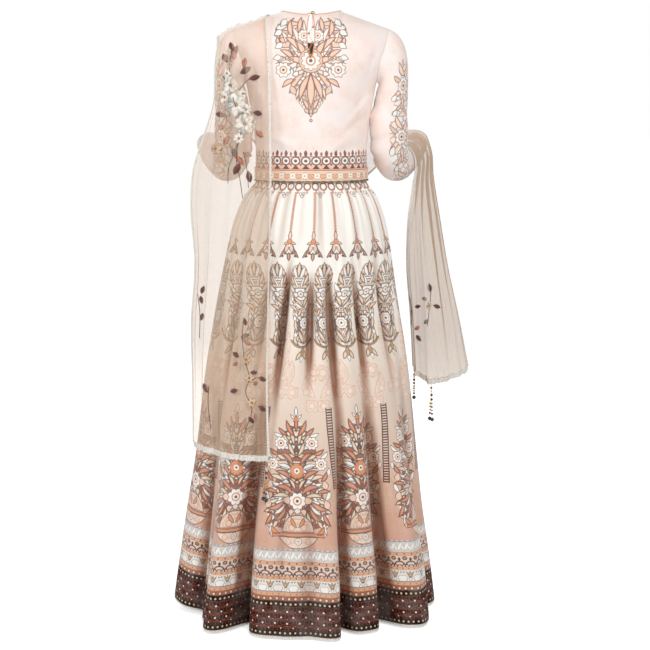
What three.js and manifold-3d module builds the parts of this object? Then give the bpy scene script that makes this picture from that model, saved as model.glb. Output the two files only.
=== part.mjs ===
// A lehenga outfit as worn, hollow: a long-sleeved blouse, an embroidered belt, a full
// floor-length printed skirt and a sheer dupatta. Millimetres, +Z up. The origin is the middle
// of the waist, +Y is the wearer's back and +X the wearer's left.
import * as THREE from "three";
import Module from "manifold-3d";

const wasm = await Module();
wasm.setup();

// Driving sizes.
const CLOTH = 1.6;
const SHEER = 1.2;
const SEAM = 0.4;
const WAIST = { wide: 126, deep: 99, top: 6 };
const SKIRT = { length: 1000, columns: 56 };
const BORDER_TOP = 0.806;
const BAND_TOP = 0.92;
const BAND_END = 0.996;
const HEM_EDGE = { out: -0.3, thick: 1 };
const BELT = { low: -3, high: 19, thick: 2 };
const PIPING = { z: 21.6, radius: 1.6 };
const BELT_CORD = { z: -6, radius: 1.8 };
const NECK = { half: 66, deepBack: 60, deepFront: 66, back: 360, side: 370, front: 300 };
const SHOULDER = { half: 172, slope: 0.36, rollFrom: 0.748 };
const BLOUSE_LOW = WAIST.top + SEAM;
const ARMHOLE_LOW = 207;
const KEYHOLE = { top: 365, bottom: 266, half: 8, binding: 2.4 };
const BINDING_THICK = 1.2;
const NECK_BINDING = { clear: 2.4, radius: 1.7 };
const DUPATTA_EDGE = 12;
const DUPATTA_CLEAR = 5;
const TIE = { out: 5.4, radius: 0.7, bead: 2.7, lastBead: 3 };
const COLOURS = {
  ivory: 0xeadccb,
  border: 0xdcc6ae,
  hemBand: 0x4a2c28,
  hemEdge: 0xe8e2d8,
  belt: 0xe9dccb,
  piping: 0xf0c4a4,
  beltCord: 0x9a8f78,
  blouse: 0xf4dfd2,
  binding: 0xd9a98c,
  gold: 0xc9a26a,
  net: 0xe4d2b8,
  lace: 0xf2efe8,
  beads: 0x4a3424,
};

// Skirt sections, by height: half width, depth behind and before, and the swing to the left.
const SKIRT_SECTIONS = [
  { z: 6, wide: 126, back: 99, front: 99, swing: 0 },
  { z: -12, wide: 126, back: 99, front: 99, swing: 0 },
  { z: -45, wide: 148, back: 116, front: 112, swing: 1 },
  { z: -100, wide: 170, back: 135, front: 126, swing: 3 },
  { z: -190, wide: 190, back: 156, front: 144, swing: 6 },
  { z: -280, wide: 207, back: 171, front: 160, swing: 9 },
  { z: -375, wide: 224, back: 184, front: 176, swing: 10 },
  { z: -470, wide: 237, back: 196, front: 189, swing: 11 },
  { z: -640, wide: 253, back: 219, front: 210, swing: 12 },
  { z: -760, wide: 267, back: 237, front: 226, swing: 15 },
  { z: -870, wide: 282, back: 254, front: 240, swing: 15 },
  { z: -995, wide: 298, back: 270, front: 252, swing: 16 },
];

// Skirt folds: the turn from the back's middle towards the left, at the hem and where the fold
// begins; how wide it is; how far it stands out (a hollow is less than 0); and where it begins,
// as a share of the length.
const FOLDS = [
  { hem: 119, top: 104, wide: 9, out: 34, from: 0.35 },
  { hem: 99, top: 90, wide: 7, out: -22, from: 0.3 },
  { hem: 82, top: 76, wide: 8, out: 10, from: 0.3 },
  { hem: 62, top: 56, wide: 8, out: -24, from: 0.3 },
  { hem: 42, top: 30, wide: 6.5, out: 30, from: 0.3 },
  { hem: 30, top: 16, wide: 4.5, out: -46, from: 0.26 },
  { hem: 10, top: 4, wide: 13, out: 10, from: 0.1 },
  { hem: -16, top: -8, wide: 6, out: 26, from: 0.32 },
  { hem: -25, top: -17, wide: 5, out: 16, from: 0.3 },
  { hem: -38, top: -27, wide: 5, out: -40, from: 0.3 },
  { hem: -54, top: -44, wide: 10, out: 42, from: 0.3 },
  { hem: -73, top: -62, wide: 7, out: -16, from: 0.3 },
  { hem: -90, top: -80, wide: 8, out: 8, from: 0.3 },
  { hem: -107, top: -96, wide: 7, out: -22, from: 0.3 },
  { hem: -124, top: -112, wide: 8, out: 24, from: 0.3 },
  { hem: -142, top: -130, wide: 7, out: -26, from: 0.34 },
  { hem: -160, top: -150, wide: 8, out: 26, from: 0.3 },
  { hem: -176, top: -168, wide: 6, out: -24, from: 0.38 },
  { hem: 168, top: 172, wide: 8, out: 24, from: 0.3 },
  { hem: 151, top: 150, wide: 7, out: -26, from: 0.36 },
  { hem: 136, top: 126, wide: 7, out: 14, from: 0.34 },
];

// Blouse sections, by height: half width, depth behind and before, and the armhole edge.
const BLOUSE_SECTIONS = [
  { z: 6, wide: 126, back: 99, front: 99, edge: 126 },
  { z: 32, wide: 126, back: 99, front: 99, edge: 126 },
  { z: 70, wide: 126, back: 101, front: 104, edge: 126 },
  { z: 130, wide: 131, back: 107, front: 116, edge: 131 },
  { z: 180, wide: 140, back: 112, front: 125, edge: 140 },
  { z: 207, wide: 146, back: 114, front: 127, edge: 146 },
  { z: 250, wide: 172, back: 113, front: 123, edge: 152 },
  { z: 290, wide: 186, back: 109, front: 114, edge: 164 },
  { z: 332, wide: 190, back: 104, front: 106, edge: 172 },
  { z: 372, wide: 190, back: 100, front: 100, edge: 172 },
];

// The right sleeve's rings, from under the cap to the cuff: middle, half width across the arm
// and half depth from front to back. The left sleeve mirrors them.
const SLEEVE_RINGS = [
  { x: 182, y: 2, z: 186, wide: 36, deep: 50 },
  { x: 175.5, y: 4, z: 140, wide: 40.5, deep: 47 },
  { x: 175.5, y: 4, z: 92, wide: 41.5, deep: 45 },
  { x: 181, y: -9, z: 50, wide: 41, deep: 43 },
  { x: 193, y: -46, z: 29, wide: 40, deep: 41 },
  { x: 213, y: -100, z: 36, wide: 37, deep: 37 },
  { x: 232, y: -150, z: 52, wide: 33, deep: 33 },
  { x: 246, y: -192, z: 68, wide: 29, deep: 29 },
];

// The dupatta's cross-sections. Each row has four places across the cloth, from the edge nearer
// the body's middle to the other edge.
const BACK_FALL = [
  [[100, 0.75, 361.4], [136, 0.75, 348], [174, 0.75, 338.5], [208, 0.75, 316]],
  [[99, 62, 350], [136, 56, 337], [174, 50, 320], [208, 34, 287]],
  [[96, 99, 292], [136, 91, 280], [177, 72, 262], [213, 42, 236]],
  [[92, 103, 210], [136, 94, 200], [178, 74, 190], [216, 38, 172]],
  [[91, 104, 120], [136, 94, 112], [180, 72, 106], [238, 22, 100]],
  [[90, 106, 30], [134, 96, 26], [184, 66, 22], [266, 8, 16]],
  [[90, 116, -60], [136, 106, -62], [194, 68, -66], [272, 6, -70]],
  [[92, 150, -190], [140, 128, -192], [204, 84, -194], [264, 14, -196]],
  [[95, 172, -330], [144, 156, -331], [212, 106, -332], [273, 22, -334]],
  [[97, 194, -470], [148, 178, -471], [220, 122, -472], [271, 40, -474]],
  [[94, 214, -600], [150, 196, -602], [216, 142, -602], [270, 66, -600]],
];
const FRONT_SWAG = [
  [[100, -0.75, 361.4], [136, -0.75, 348], [174, -0.75, 338.5], [208, -0.75, 316]],
  [[86, -74, 349], [126, -64, 341], [167, -52, 326], [208, -36, 292]],
  [[58, -131, 282], [100, -126, 262], [146, -106, 240], [190, -66, 214]],
  [[26, -146, 222], [62, -152, 180], [100, -146, 130], [138, -118, 82]],
  [[-26, -150, 170], [-6, -164, 112], [16, -170, 50], [38, -166, -14]],
  [[-86, -146, 132], [-84, -166, 84], [-82, -178, 30], [-80, -184, -30]],
  [[-140, -128, 112], [-142, -156, 84], [-146, -182, 50], [-150, -204, 10]],
  [[-180, -76, 82], [-186, -112, 84], [-192, -150, 88], [-200, -186, 90]],
  [[-200, -64, 73], [-214, -104, 78], [-228, -146, 88], [-241, -184, 100]],
];
const FOREARM_FALL = [
  [[-200.9, -64, 73], [-214.9, -104, 78], [-228.9, -146, 88], [-241.9, -184, 100]],
  [[-226, -58, 64], [-240, -102, 70], [-255, -146, 82], [-268, -182, 91]],
  [[-240, -44, 34], [-256, -94, 40], [-272, -142, 48], [-282, -178, 56]],
  [[-234, -34, -24], [-252, -70, -20], [-270, -118, -14], [-288, -158, -8]],
  [[-224, -40, -110], [-250, -44, -110], [-280, -92, -108], [-304, -146, -106]],
  [[-222, -60, -210], [-258, -36, -212], [-294, -78, -212], [-322, -136, -210]],
  [[-232, -74, -330], [-268, -34, -334], [-312, -70, -334], [-348, -124, -330]],
  [[-240, -88, -452], [-276, -40, -474], [-328, -66, -468], [-372, -118, -458]],
];
// Pleats along each fall: place across, how wide, how far out and where down the fall it starts.
const BACK_PLEATS = [
  { across: 0.12, wide: 0.05, out: 7, from: 0 },
  { across: 0.3, wide: 0.06, out: -6, from: 0.1 },
  { across: 0.47, wide: 0.06, out: 9, from: 0.1 },
  { across: 0.66, wide: 0.06, out: -6, from: 0.2 },
  { across: 0.84, wide: 0.05, out: 9, from: 0.3 },
];
const FOREARM_PLEATS = [
  { across: 0.2, wide: 0.07, out: 9, from: 0.3 },
  { across: 0.42, wide: 0.06, out: -8, from: 0.3 },
  { across: 0.62, wide: 0.07, out: 9, from: 0.35 },
  { across: 0.82, wide: 0.06, out: -8, from: 0.4 },
];
// Bead tassels: where the top is, the length and the half width.
const TASSELS = [
  { name: "dupatta_tassel_back", side: "back", across: 0.02, long: 95, radius: 4 },
  { name: "dupatta_tassel_outer", side: "forearm", across: 5 / 14, long: 94, radius: 4.5 },
  { name: "dupatta_tassel_inner", side: "forearm", across: 0.03, long: 69, radius: 4 },
];
// The beads on the neck tie: place across and height.
const NECK_BEADS = [
  { x: -4.5, z: 333 },
  { x: 4.5, z: 319 },
  { x: -3.5, z: 299 },
  { x: 3.5, z: 284 },
  { x: 0, z: 272 },
];

const RADIANS = Math.PI / 180;
const vec = (x, y, z) => new THREE.Vector3(x, y, z);
const mix = (a, b, t) => a + (b - a) * t;
const clamp = (t) => Math.min(1, Math.max(0, t));
const smooth = (t) => clamp(t) ** 2 * (3 - 2 * clamp(t));
const steps = (count, from = 0, to = 1) =>
  Array.from({ length: count + 1 }, (_, i) => mix(from, to, i / count));

// Cubic interpolation of a named column in a table that is ordered by z, either way.
function column(table, name, z) {
  const down = table[0].z > table[table.length - 1].z;
  const rows = down ? [...table].reverse() : table;
  let i = rows.findIndex((row) => row.z >= z);
  i = i < 0 ? rows.length - 1 : Math.max(1, i);
  const row = (k) => rows[Math.min(rows.length - 1, Math.max(0, k))];
  const span = row(i).z - row(i - 1).z;
  const t = clamp((z - row(i - 1).z) / span);
  const slope = (k) => (row(k + 1)[name] - row(k - 1)[name]) / (row(k + 1).z - row(k - 1).z);
  const [a, b] = [row(i - 1)[name], row(i)[name]];
  const [m, n] = [slope(i - 1) * span, slope(i) * span];
  const bend = (2 * t ** 3 - 3 * t ** 2 + 1) * a + (t ** 3 - 2 * t ** 2 + t) * m;
  return bend + (3 * t ** 2 - 2 * t ** 3) * b + (t ** 3 - t ** 2) * n;
}

// A wall on the points at(u, v): the outer skin there, and the inner skin moved in along the
// grid's own normals. inwards is 1 where u crossed with v points out of the wall's outer face,
// and -1 where it points in. closed joins the first column to the last.
function wall(at, us, vs, { thick = CLOTH, closed = false, inwards = 1 }) {
  const wide = us.length;
  const outer = vs.map((v) => us.map((u) => at(u, v)));
  const pick = (i) => (closed ? (i + wide) % wide : Math.min(wide - 1, Math.max(0, i)));
  const points = outer.flat();
  for (const [j] of vs.entries()) {
    for (const [i] of us.entries()) {
      const [up, low] = [outer[Math.max(0, j - 1)], outer[Math.min(vs.length - 1, j + 1)]];
      const along = vec(0, 0, 0).subVectors(outer[j][pick(i + 1)], outer[j][pick(i - 1)]);
      const down = vec(0, 0, 0).subVectors(low[i], up[i]);
      const normal = along.cross(down).normalize();
      points.push(outer[j][i].clone().addScaledVector(normal, -inwards * thick));
    }
  }
  const half = wide * vs.length;
  const faces = [];
  const quad = (a, b, c, d) => faces.push(a, b, c, a, c, d);
  const spans = closed ? wide : wide - 1;
  for (let j = 0; j < vs.length - 1; j += 1) {
    for (let i = 0; i < spans; i += 1) {
      const [a, b] = [j * wide + i, j * wide + pick(i + 1)];
      quad(a, b, b + wide, a + wide);
      quad(half + a, half + a + wide, half + b + wide, half + b);
    }
    if (!closed) {
      const [a, b] = [j * wide, j * wide + wide - 1];
      quad(a, a + wide, half + a + wide, half + a);
      quad(b, half + b, half + b + wide, b + wide);
    }
  }
  const last = (vs.length - 1) * wide;
  for (let i = 0; i < spans; i += 1) {
    const k = pick(i + 1);
    quad(i, half + i, half + k, k);
    quad(last + i, last + k, half + last + k, half + last + i);
  }
  if (inwards < 0) faces.reverse();
  return geometryOf(points.flatMap((p) => p.toArray()), faces);
}

function geometryOf(numbers, faces) {
  const geometry = new THREE.BufferGeometry();
  geometry.setAttribute("position", new THREE.Float32BufferAttribute(numbers, 3));
  geometry.setIndex(faces);
  return geometry;
}

const group = new THREE.Group();
function add(name, geometry, colour, roughness = 0.85, metalness = 0) {
  const material = new THREE.MeshStandardMaterial({ color: colour, roughness, metalness });
  const mesh = new THREE.Mesh(geometry, material);
  mesh.name = name;
  group.add(mesh);
}

// ---- Skirt ----

// How far the folds stand out at a turn (degrees) and a share of the length.
function foldOut(turn, share) {
  let out = 0;
  for (const fold of FOLDS) {
    const begun = smooth((share - fold.from) / (1 - fold.from));
    const middle = mix(fold.top, fold.hem, smooth(share * 1.1));
    const apart = ((turn - middle + 540) % 360) - 180;
    out += fold.out * begun * Math.exp(-((apart / fold.wide) ** 2));
  }
  return out;
}

// The skirt's outer face: an ellipse of its section, moved out by the folds.
function skirtAt(turn, share, out = 0) {
  const z = WAIST.top - SKIRT.length * share;
  const [s, c] = [Math.sin(turn * RADIANS), Math.cos(turn * RADIANS)];
  const wide = column(SKIRT_SECTIONS, "wide", z);
  const deep = column(SKIRT_SECTIONS, c > 0 ? "back" : "front", z);
  const reach = out + foldOut(turn, share);
  const normal = vec(s / wide, c / deep, 0).normalize();
  const swing = column(SKIRT_SECTIONS, "swing", z);
  return vec(swing + wide * s + normal.x * reach, deep * c + normal.y * reach, z);
}

// A panel of the skirt's surface between two turns, pulled from its side seams.
function skirtPanel(from, to, shares, out, thick) {
  const shift = Math.cos(((from + to) / 2) * RADIANS) > 0 ? SEAM : -SEAM;
  const at = (turn, share) => skirtAt(turn, share, out).add(vec(0, shift, 0));
  return wall(at, steps(SKIRT.columns / 2, from, to), shares, { thick });
}

const SKIRT_HALVES = { back: [-90, 90], front: [90, 270] };
for (const [side, [from, to]] of Object.entries(SKIRT_HALVES)) {
  const seam = SEAM / SKIRT.length;
  const panel = (shares, out, thick) => skirtPanel(from, to, shares, out, thick);
  const top = [0, 0.018, 0.05, 0.1, 0.18, 0.27, 0.37, 0.48, 0.6, 0.7, BORDER_TOP - seam];
  const border = steps(2, BORDER_TOP, BAND_TOP - seam);
  add(`skirt_${side}`, panel(top, 0, CLOTH), COLOURS.ivory);
  add(`border_${side}`, panel(border, 0, CLOTH), COLOURS.border);
  add(`hem_band_${side}`, panel(steps(2, BAND_TOP, BAND_END), 0, CLOTH), COLOURS.hemBand);
  add(`hem_edge_${side}`, panel([BAND_END + seam, 1], HEM_EDGE.out, HEM_EDGE.thick), COLOURS.hemEdge);
}

// ---- Belt, piping and belt cord ----

// A band round the waist's ellipse, from its low edge to its high one.
function waistBand(from, to, low, high, out, thick) {
  const shift = Math.cos(((from + to) / 2) * RADIANS) > 0 ? SEAM : -SEAM;
  const at = (turn, z) => {
    const [s, c] = [Math.sin(turn * RADIANS), Math.cos(turn * RADIANS)];
    const reach = out + thick;
    return vec((WAIST.wide + reach) * s, (WAIST.deep + reach) * c + shift, z);
  };
  return wall(at, steps(26, from, to), [high, low], { thick });
}

// A round cord of six sides along points, with flat ends.
function cordAlong(points, radius) {
  const shape = new THREE.Shape();
  shape.absarc(0, 0, radius, 0, 2 * Math.PI, false);
  return new THREE.ExtrudeGeometry(shape, {
    steps: Math.round(points.length * 1.3),
    bevelEnabled: false,
    curveSegments: 3,
    extrudePath: new THREE.CatmullRomCurve3(points),
  });
}

function waistCord(from, to, z, radius, out) {
  const points = steps(18, from + 1, to - 1).map((turn) => {
    const [s, c] = [Math.sin(turn * RADIANS), Math.cos(turn * RADIANS)];
    return vec((WAIST.wide + out) * s, (WAIST.deep + out) * c, z);
  });
  return cordAlong(points, radius);
}

for (const [side, [from, to]] of Object.entries(SKIRT_HALVES)) {
  const belt = waistBand(from, to, BELT.low, BELT.high, SEAM, BELT.thick);
  add(`belt_${side}`, belt, COLOURS.belt, 0.7);
  const piping = waistCord(from, to, PIPING.z, PIPING.radius, PIPING.radius + SEAM + 0.2);
  add(`waist_piping_${side}`, piping, COLOURS.piping, 0.6);
  const cord = waistCord(from, to, BELT_CORD.z, BELT_CORD.radius, BELT_CORD.radius + 1);
  add(`belt_cord_${side}`, cord, COLOURS.beltCord, 0.5, 0.3);
}

// ---- Blouse ----

// The top edge: the neckline between the neck's sides, then the shoulder's slope.
function topEdge(x, lowest) {
  const across = Math.abs(x) / NECK.half;
  if (across < 1) return lowest + (NECK.side - lowest) * across ** 2;
  return NECK.side - SHOULDER.slope * (Math.abs(x) - NECK.half);
}

// A panel point: across from -1 to 1 and up from 0 to 1. Below the roll it follows the blouse's
// sections. Over the roll it turns a quarter ellipse towards the neckline and the shoulder.
function panelAt(across, up, front) {
  const rolled = clamp((up - SHOULDER.rollFrom) / (1 - SHOULDER.rollFrom)) * 90 * RADIANS;
  const rise = Math.min(up, SHOULDER.rollFrom)
    + (1 - SHOULDER.rollFrom) * Math.sin(rolled);
  const lowest = front ? NECK.front : NECK.back;
  const edgeTop = topEdge(SHOULDER.half, lowest);
  const edge = column(BLOUSE_SECTIONS, "edge", mix(BLOUSE_LOW, edgeTop, rise));
  const x = edge * Math.sin(across * 90 * RADIANS);
  const z = mix(BLOUSE_LOW, topEdge(x, lowest), rise);
  const wide = column(BLOUSE_SECTIONS, "wide", z);
  const deep = column(BLOUSE_SECTIONS, front ? "front" : "back", z);
  const neckDeep = front ? NECK.deepFront : NECK.deepBack;
  const neck = neckDeep * Math.sqrt(Math.max(0, 1 - (x / NECK.half) ** 2));
  const round = Math.sqrt(Math.max(0, 1 - (x / wide) ** 2));
  const y = mix(neck, deep * round, Math.cos(rolled));
  return vec(x, front ? -y - SEAM : y + SEAM, z);
}

// Columns across a panel, by their place at the shoulder: close together round the neckline.
const COLUMN_PLACES = [13, 26, 39, 52, 66, 88, 112, 136, 155, 168, SHOULDER.half];
const columnsOut = COLUMN_PLACES.map((x) => Math.asin(x / SHOULDER.half) / (90 * RADIANS));
const PANEL_COLUMNS = [...columnsOut.map((t) => -t).reverse(), 0, ...columnsOut];
const PANEL_ROWS = [0, 0.08, 0.22, 0.38, 0.52, 0.64, 0.748, 0.82, 0.89, 0.95, 1];
const panel = (front) => {
  const at = (across, up) => panelAt(across, up, front);
  return wall(at, PANEL_COLUMNS, PANEL_ROWS, { inwards: front ? 1 : -1 });
};

// The back panel's surface at a place across and a height, found by stepping up the panel.
function backAt(x, z, out = 0) {
  let [low, high] = [0, 1];
  const find = (up) => {
    const edge = panelAt(1, up, false).x;
    return panelAt(Math.asin(x / edge) / (90 * RADIANS), up, false);
  };
  for (let i = 0; i < 24; i += 1) {
    const up = (low + high) / 2;
    if (find(up).z < z) low = up;
    else high = up;
  }
  return find((low + high) / 2).add(vec(0, out, 0));
}

// The keyhole's outline, two arcs that meet in points, grown by a margin.
function keyhole(margin) {
  const middle = (KEYHOLE.top + KEYHOLE.bottom) / 2;
  const tall = (KEYHOLE.top - KEYHOLE.bottom) / 2 + margin * 2;
  const half = KEYHOLE.half + margin;
  return steps(24).slice(0, -1).map((t) => {
    const turn = t * 2 * Math.PI;
    const side = Math.sign(Math.round(Math.sin(turn) * 1e6));
    return vec(half * side * Math.abs(Math.sin(turn)) ** 1.3, 0, middle - tall * Math.cos(turn));
  });
}

function solidOf(geometry) {
  const vertProperties = new Float32Array(geometry.getAttribute("position").array);
  const triVerts = new Uint32Array(geometry.index.array);
  return new wasm.Manifold(new wasm.Mesh({ numProp: 3, vertProperties, triVerts }));
}

function geometryFrom(solid) {
  const mesh = solid.getMesh();
  return geometryOf([...mesh.vertProperties], [...mesh.triVerts]);
}

// A prism of the keyhole's outline, through the back panel only.
function keyholeCutter() {
  const outline = keyhole(0);
  const count = outline.length;
  const near = outline.map((p) => [p.x, NECK.deepBack / 2, p.z]);
  const far = outline.map((p) => [p.x, 2 * WAIST.deep, p.z]);
  const faces = [];
  for (let i = 0; i < count; i += 1) {
    const k = (i + 1) % count;
    faces.push(i, count + k, k, i, count + i, count + k);
  }
  for (let i = 1; i < count - 1; i += 1) {
    faces.push(0, i, i + 1, count, count + i + 1, count + i);
  }
  return solidOf(geometryOf([...near, ...far].flat(), faces));
}

const bodiceBack = solidOf(panel(false)).subtract(keyholeCutter());
add("bodice_back", geometryFrom(bodiceBack), COLOURS.blouse);
add("bodice_front", panel(true), COLOURS.blouse);

// A flat binding down one side of the keyhole, round its point and up the other side.
function keyholeBinding() {
  const below = (p) => p.z < NECK.back - 5;
  const outer = keyhole(KEYHOLE.binding);
  const inner = keyhole(0.3);
  const rims = inner.map((p, i) => [p, outer[i]]).filter(([p, q]) => below(p) && below(q));
  const turned = [...rims.filter(([p]) => p.x < 0), ...rims.filter(([p]) => p.x >= 0)];
  const at = (i, edge) => backAt(turned[i][edge].x, turned[i][edge].z, SEAM + BINDING_THICK);
  return wall(at, turned.map((_, i) => i), [0, 1], { thick: BINDING_THICK });
}
add("keyhole_binding", keyholeBinding(), COLOURS.binding);

// The neck binding, from one side of the keyhole round the front to the other.
function neckBinding() {
  const points = steps(30, 8, 352).map((turn) => {
    const front = Math.cos(turn * RADIANS) < 0;
    const x = NECK.half * Math.sin(turn * RADIANS);
    const y = (front ? NECK.deepFront : NECK.deepBack) * Math.cos(turn * RADIANS);
    const lowest = front ? NECK.front : NECK.back;
    const slope = (2 * (NECK.side - lowest) * x) / NECK.half ** 2;
    const clear = vec(-slope, 0, 1).setLength(NECK_BINDING.clear);
    return vec(x, y, topEdge(x, lowest)).add(clear);
  });
  return cordAlong(points, NECK_BINDING.radius);
}
add("neck_binding", neckBinding(), COLOURS.binding);

// The button and its loop, at the top of the keyhole.
const BUTTON = { x: -3.5, y: NECK.deepBack + 2, z: NECK.back + 4.6, radius: 4 };
const button = new THREE.SphereGeometry(BUTTON.radius, 14, 10);
button.translate(BUTTON.x, BUTTON.y, BUTTON.z);
add("neck_button", button, COLOURS.gold, 0.4, 0.2);
const LOOP = [
  [11.4, -1.6, -1.6],
  [5.6, 3.4, -0.4],
  [0, 5.7, 0],
  [-4.2, 4.2, 0],
  [-5.7, 0, 0],
  [-4.2, -4.2, 0],
  [0, -5.7, 0],
  [6, -5, -0.8],
  [11.2, -4.2, -1.6],
];
const loop = LOOP.map(([x, y, z]) => vec(BUTTON.x + x, BUTTON.y + y, BUTTON.z + z));
add("button_loop", cordAlong(loop, 0.7), COLOURS.binding);

// The neck tie: a thin string with beads, from the button down over the keyhole.
function neckTie() {
  const places = NECK_BEADS.map((bead) => backAt(bead.x, bead.z, TIE.out));
  const top = vec(BUTTON.x, BUTTON.y + 3.85, BUTTON.z - 2.5);
  const over = [backAt(-3, 355, 5), backAt(-3, 345, TIE.out)];
  const string = solidOf(weld(cordAlong([top, ...over, ...places], TIE.radius)));
  const bead = (p, i) => {
    const radius = i === places.length - 1 ? TIE.lastBead : TIE.bead;
    const sphere = new THREE.SphereGeometry(radius, 10, 8);
    sphere.translate(p.x, p.y, p.z);
    return solidOf(weld(sphere));
  };
  return geometryFrom(places.map(bead).reduce((all, one) => all.add(one), string));
}

// Merges the points of a closed geometry that coincide, and drops the faces that collapse.
function weld(geometry) {
  const flat = geometry.index ? geometry.toNonIndexed() : geometry;
  const places = flat.getAttribute("position").array;
  const known = new Map();
  const numbers = [];
  const ids = [];
  for (let i = 0; i < places.length; i += 3) {
    const key = [0, 1, 2].map((k) => Math.round(places[i + k] * 1e3)).join(",");
    if (!known.has(key)) {
      known.set(key, known.size);
      numbers.push(places[i], places[i + 1], places[i + 2]);
    }
    ids.push(known.get(key));
  }
  const faces = [];
  for (let i = 0; i < ids.length; i += 3) {
    const [a, b, c] = ids.slice(i, i + 3);
    if (a !== b && b !== c && a !== c) faces.push(a, b, c);
  }
  return geometryOf(numbers, faces);
}
add("neck_tie", neckTie(), COLOURS.gold, 0.4, 0.2);

// ---- Sleeves ----

// The armhole's ring, from the shoulder's tip down the back edge and up the front edge.
function armholeRing(count) {
  const low = (ARMHOLE_LOW - BLOUSE_LOW) / (topEdge(SHOULDER.half, NECK.back) - BLOUSE_LOW);
  return steps(count).slice(0, -1).map((t) => {
    const front = t > 0.5;
    const down = front ? 2 - 2 * t : 2 * t;
    const p = panelAt(1, mix(1, low, down), front);
    return vec(p.x + 2 * SEAM, p.y, p.z);
  });
}

// A ring of the sleeve's table, square to the line through its neighbours.
function sleeveRing(index, count) {
  const row = SLEEVE_RINGS[index];
  const place = (k) => {
    const ring = SLEEVE_RINGS[Math.min(SLEEVE_RINGS.length - 1, Math.max(0, k))];
    return vec(ring.x, ring.y, ring.z);
  };
  const along = index < 2 ? vec(0, 0, -1) : place(index + 1).sub(place(index - 1)).normalize();
  const side = vec(1, 0, 0).addScaledVector(along, -along.x).normalize();
  const behind = vec(0, 0, 0).crossVectors(side, along);
  return steps(count).slice(0, -1).map((t) => {
    const turn = t * 2 * Math.PI;
    return place(index)
      .addScaledVector(side, row.wide * Math.cos(turn))
      .addScaledVector(behind, row.deep * Math.sin(turn));
  });
}

// The sleeve: a cap that bends from the armhole's ring into the first ring, then the rings.
function sleeve(side) {
  const count = 16;
  const armhole = armholeRing(count);
  const first = sleeveRing(0, count);
  const cap = (i, t) => {
    const [a, b] = [armhole[i], first[i]];
    const reach = a.distanceTo(b);
    const out = vec(1, 0, -SHOULDER.slope).setLength(reach * 1.1);
    const down = vec(0, 0, -reach * 1.1);
    const p = a.clone().multiplyScalar(2 * t ** 3 - 3 * t ** 2 + 1);
    p.addScaledVector(out, t ** 3 - 2 * t ** 2 + t);
    p.addScaledVector(b, 3 * t ** 2 - 2 * t ** 3);
    return p.addScaledVector(down, t ** 3 - t ** 2);
  };
  const rings = SLEEVE_RINGS.map((_, k) => sleeveRing(k, count));
  const at = (i, v) => {
    const p = v < 1 ? cap(i, v) : rings[v - 1][i].clone();
    return vec(p.x * side, p.y, p.z);
  };
  const rows = [0, 0.14, 0.3, 0.5, 0.72, ...rings.map((_, k) => k + 1)];
  return wall(at, armhole.map((_, i) => i), rows, { closed: true, inwards: -side });
}
add("sleeve_right", sleeve(-1), COLOURS.blouse);
add("sleeve_left", sleeve(1), COLOURS.blouse);

// ---- Dupatta ----

// A smooth sheet through a table of cross-sections, both ways.
function sheetAt(table, across, down) {
  const spline = (points, t) => new THREE.CatmullRomCurve3(points).getPoint(t);
  const rows = table.map((row) => spline(row.map((p) => vec(...p)), across));
  return spline(rows, down);
}

// Moves a point out of the skirt, keeping a gap from its outer face.
function clearOfSkirt(p, gap) {
  const share = (WAIST.top - p.z) / SKIRT.length;
  if (share < 0.03) return p;
  const z = p.z;
  const wide = column(SKIRT_SECTIONS, "wide", z);
  const deep = column(SKIRT_SECTIONS, p.y > 0 ? "back" : "front", z);
  const swing = column(SKIRT_SECTIONS, "swing", z);
  const turn = Math.atan2((p.x - swing) / wide, p.y / deep) / RADIANS;
  const face = skirtAt(turn, share, gap);
  const have = Math.hypot((p.x - swing) / wide, p.y / deep);
  const need = Math.hypot((face.x - swing) / wide, face.y / deep);
  if (have >= need) return p;
  return vec(swing + ((p.x - swing) * need) / have, (p.y * need) / have, z);
}

// A fall of the dupatta with its pleats, clear of the skirt.
function fallAt(table, pleats, across, down) {
  const p = sheetAt(table, across, down);
  const beside = sheetAt(table, Math.min(1, across + 0.02), down);
  const before = sheetAt(table, Math.max(0, across - 0.02), down);
  const normal = vec(beside.y - before.y, before.x - beside.x, 0).normalize();
  if (normal.x * p.x + normal.y * Math.max(p.y, 1) < 0) normal.negate();
  let out = 0;
  for (const pleat of pleats) {
    const begun = smooth((down - pleat.from) / 0.4);
    out += pleat.out * begun * Math.exp(-(((across - pleat.across) / pleat.wide) ** 2));
  }
  return clearOfSkirt(p.addScaledVector(normal, out), DUPATTA_CLEAR + SHEER);
}

const backFallAt = (across, down) => fallAt(BACK_FALL, BACK_PLEATS, across, down);
const forearmFallAt = (across, down) => fallAt(FOREARM_FALL, FOREARM_PLEATS, across, down);
const swagAt = (across, down) => sheetAt(FRONT_SWAG, across, down);
const backNet = { thick: SHEER };
const frontNet = { thick: SHEER, inwards: -1 };
add("dupatta_back_fall", wall(backFallAt, steps(14), steps(10), backNet), COLOURS.net);
add("dupatta_front_swag", wall(swagAt, steps(6), steps(16), frontNet), COLOURS.net);
add("dupatta_forearm_fall", wall(forearmFallAt, steps(14), steps(14), frontNet), COLOURS.net);

// The lace edging along a fall's end, hanging straight on from it.
function endEdging(at, inwards) {
  const below = (across, down) => {
    const p = at(across, 1);
    return vec(p.x, p.y, p.z - SEAM - down * DUPATTA_EDGE);
  };
  return wall(below, steps(14), [0, 1], { thick: SHEER, inwards });
}
add("dupatta_edging_back", endEdging(backFallAt, 1), COLOURS.lace);
add("dupatta_edging_forearm", endEdging(forearmFallAt, -1), COLOURS.lace);

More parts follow.
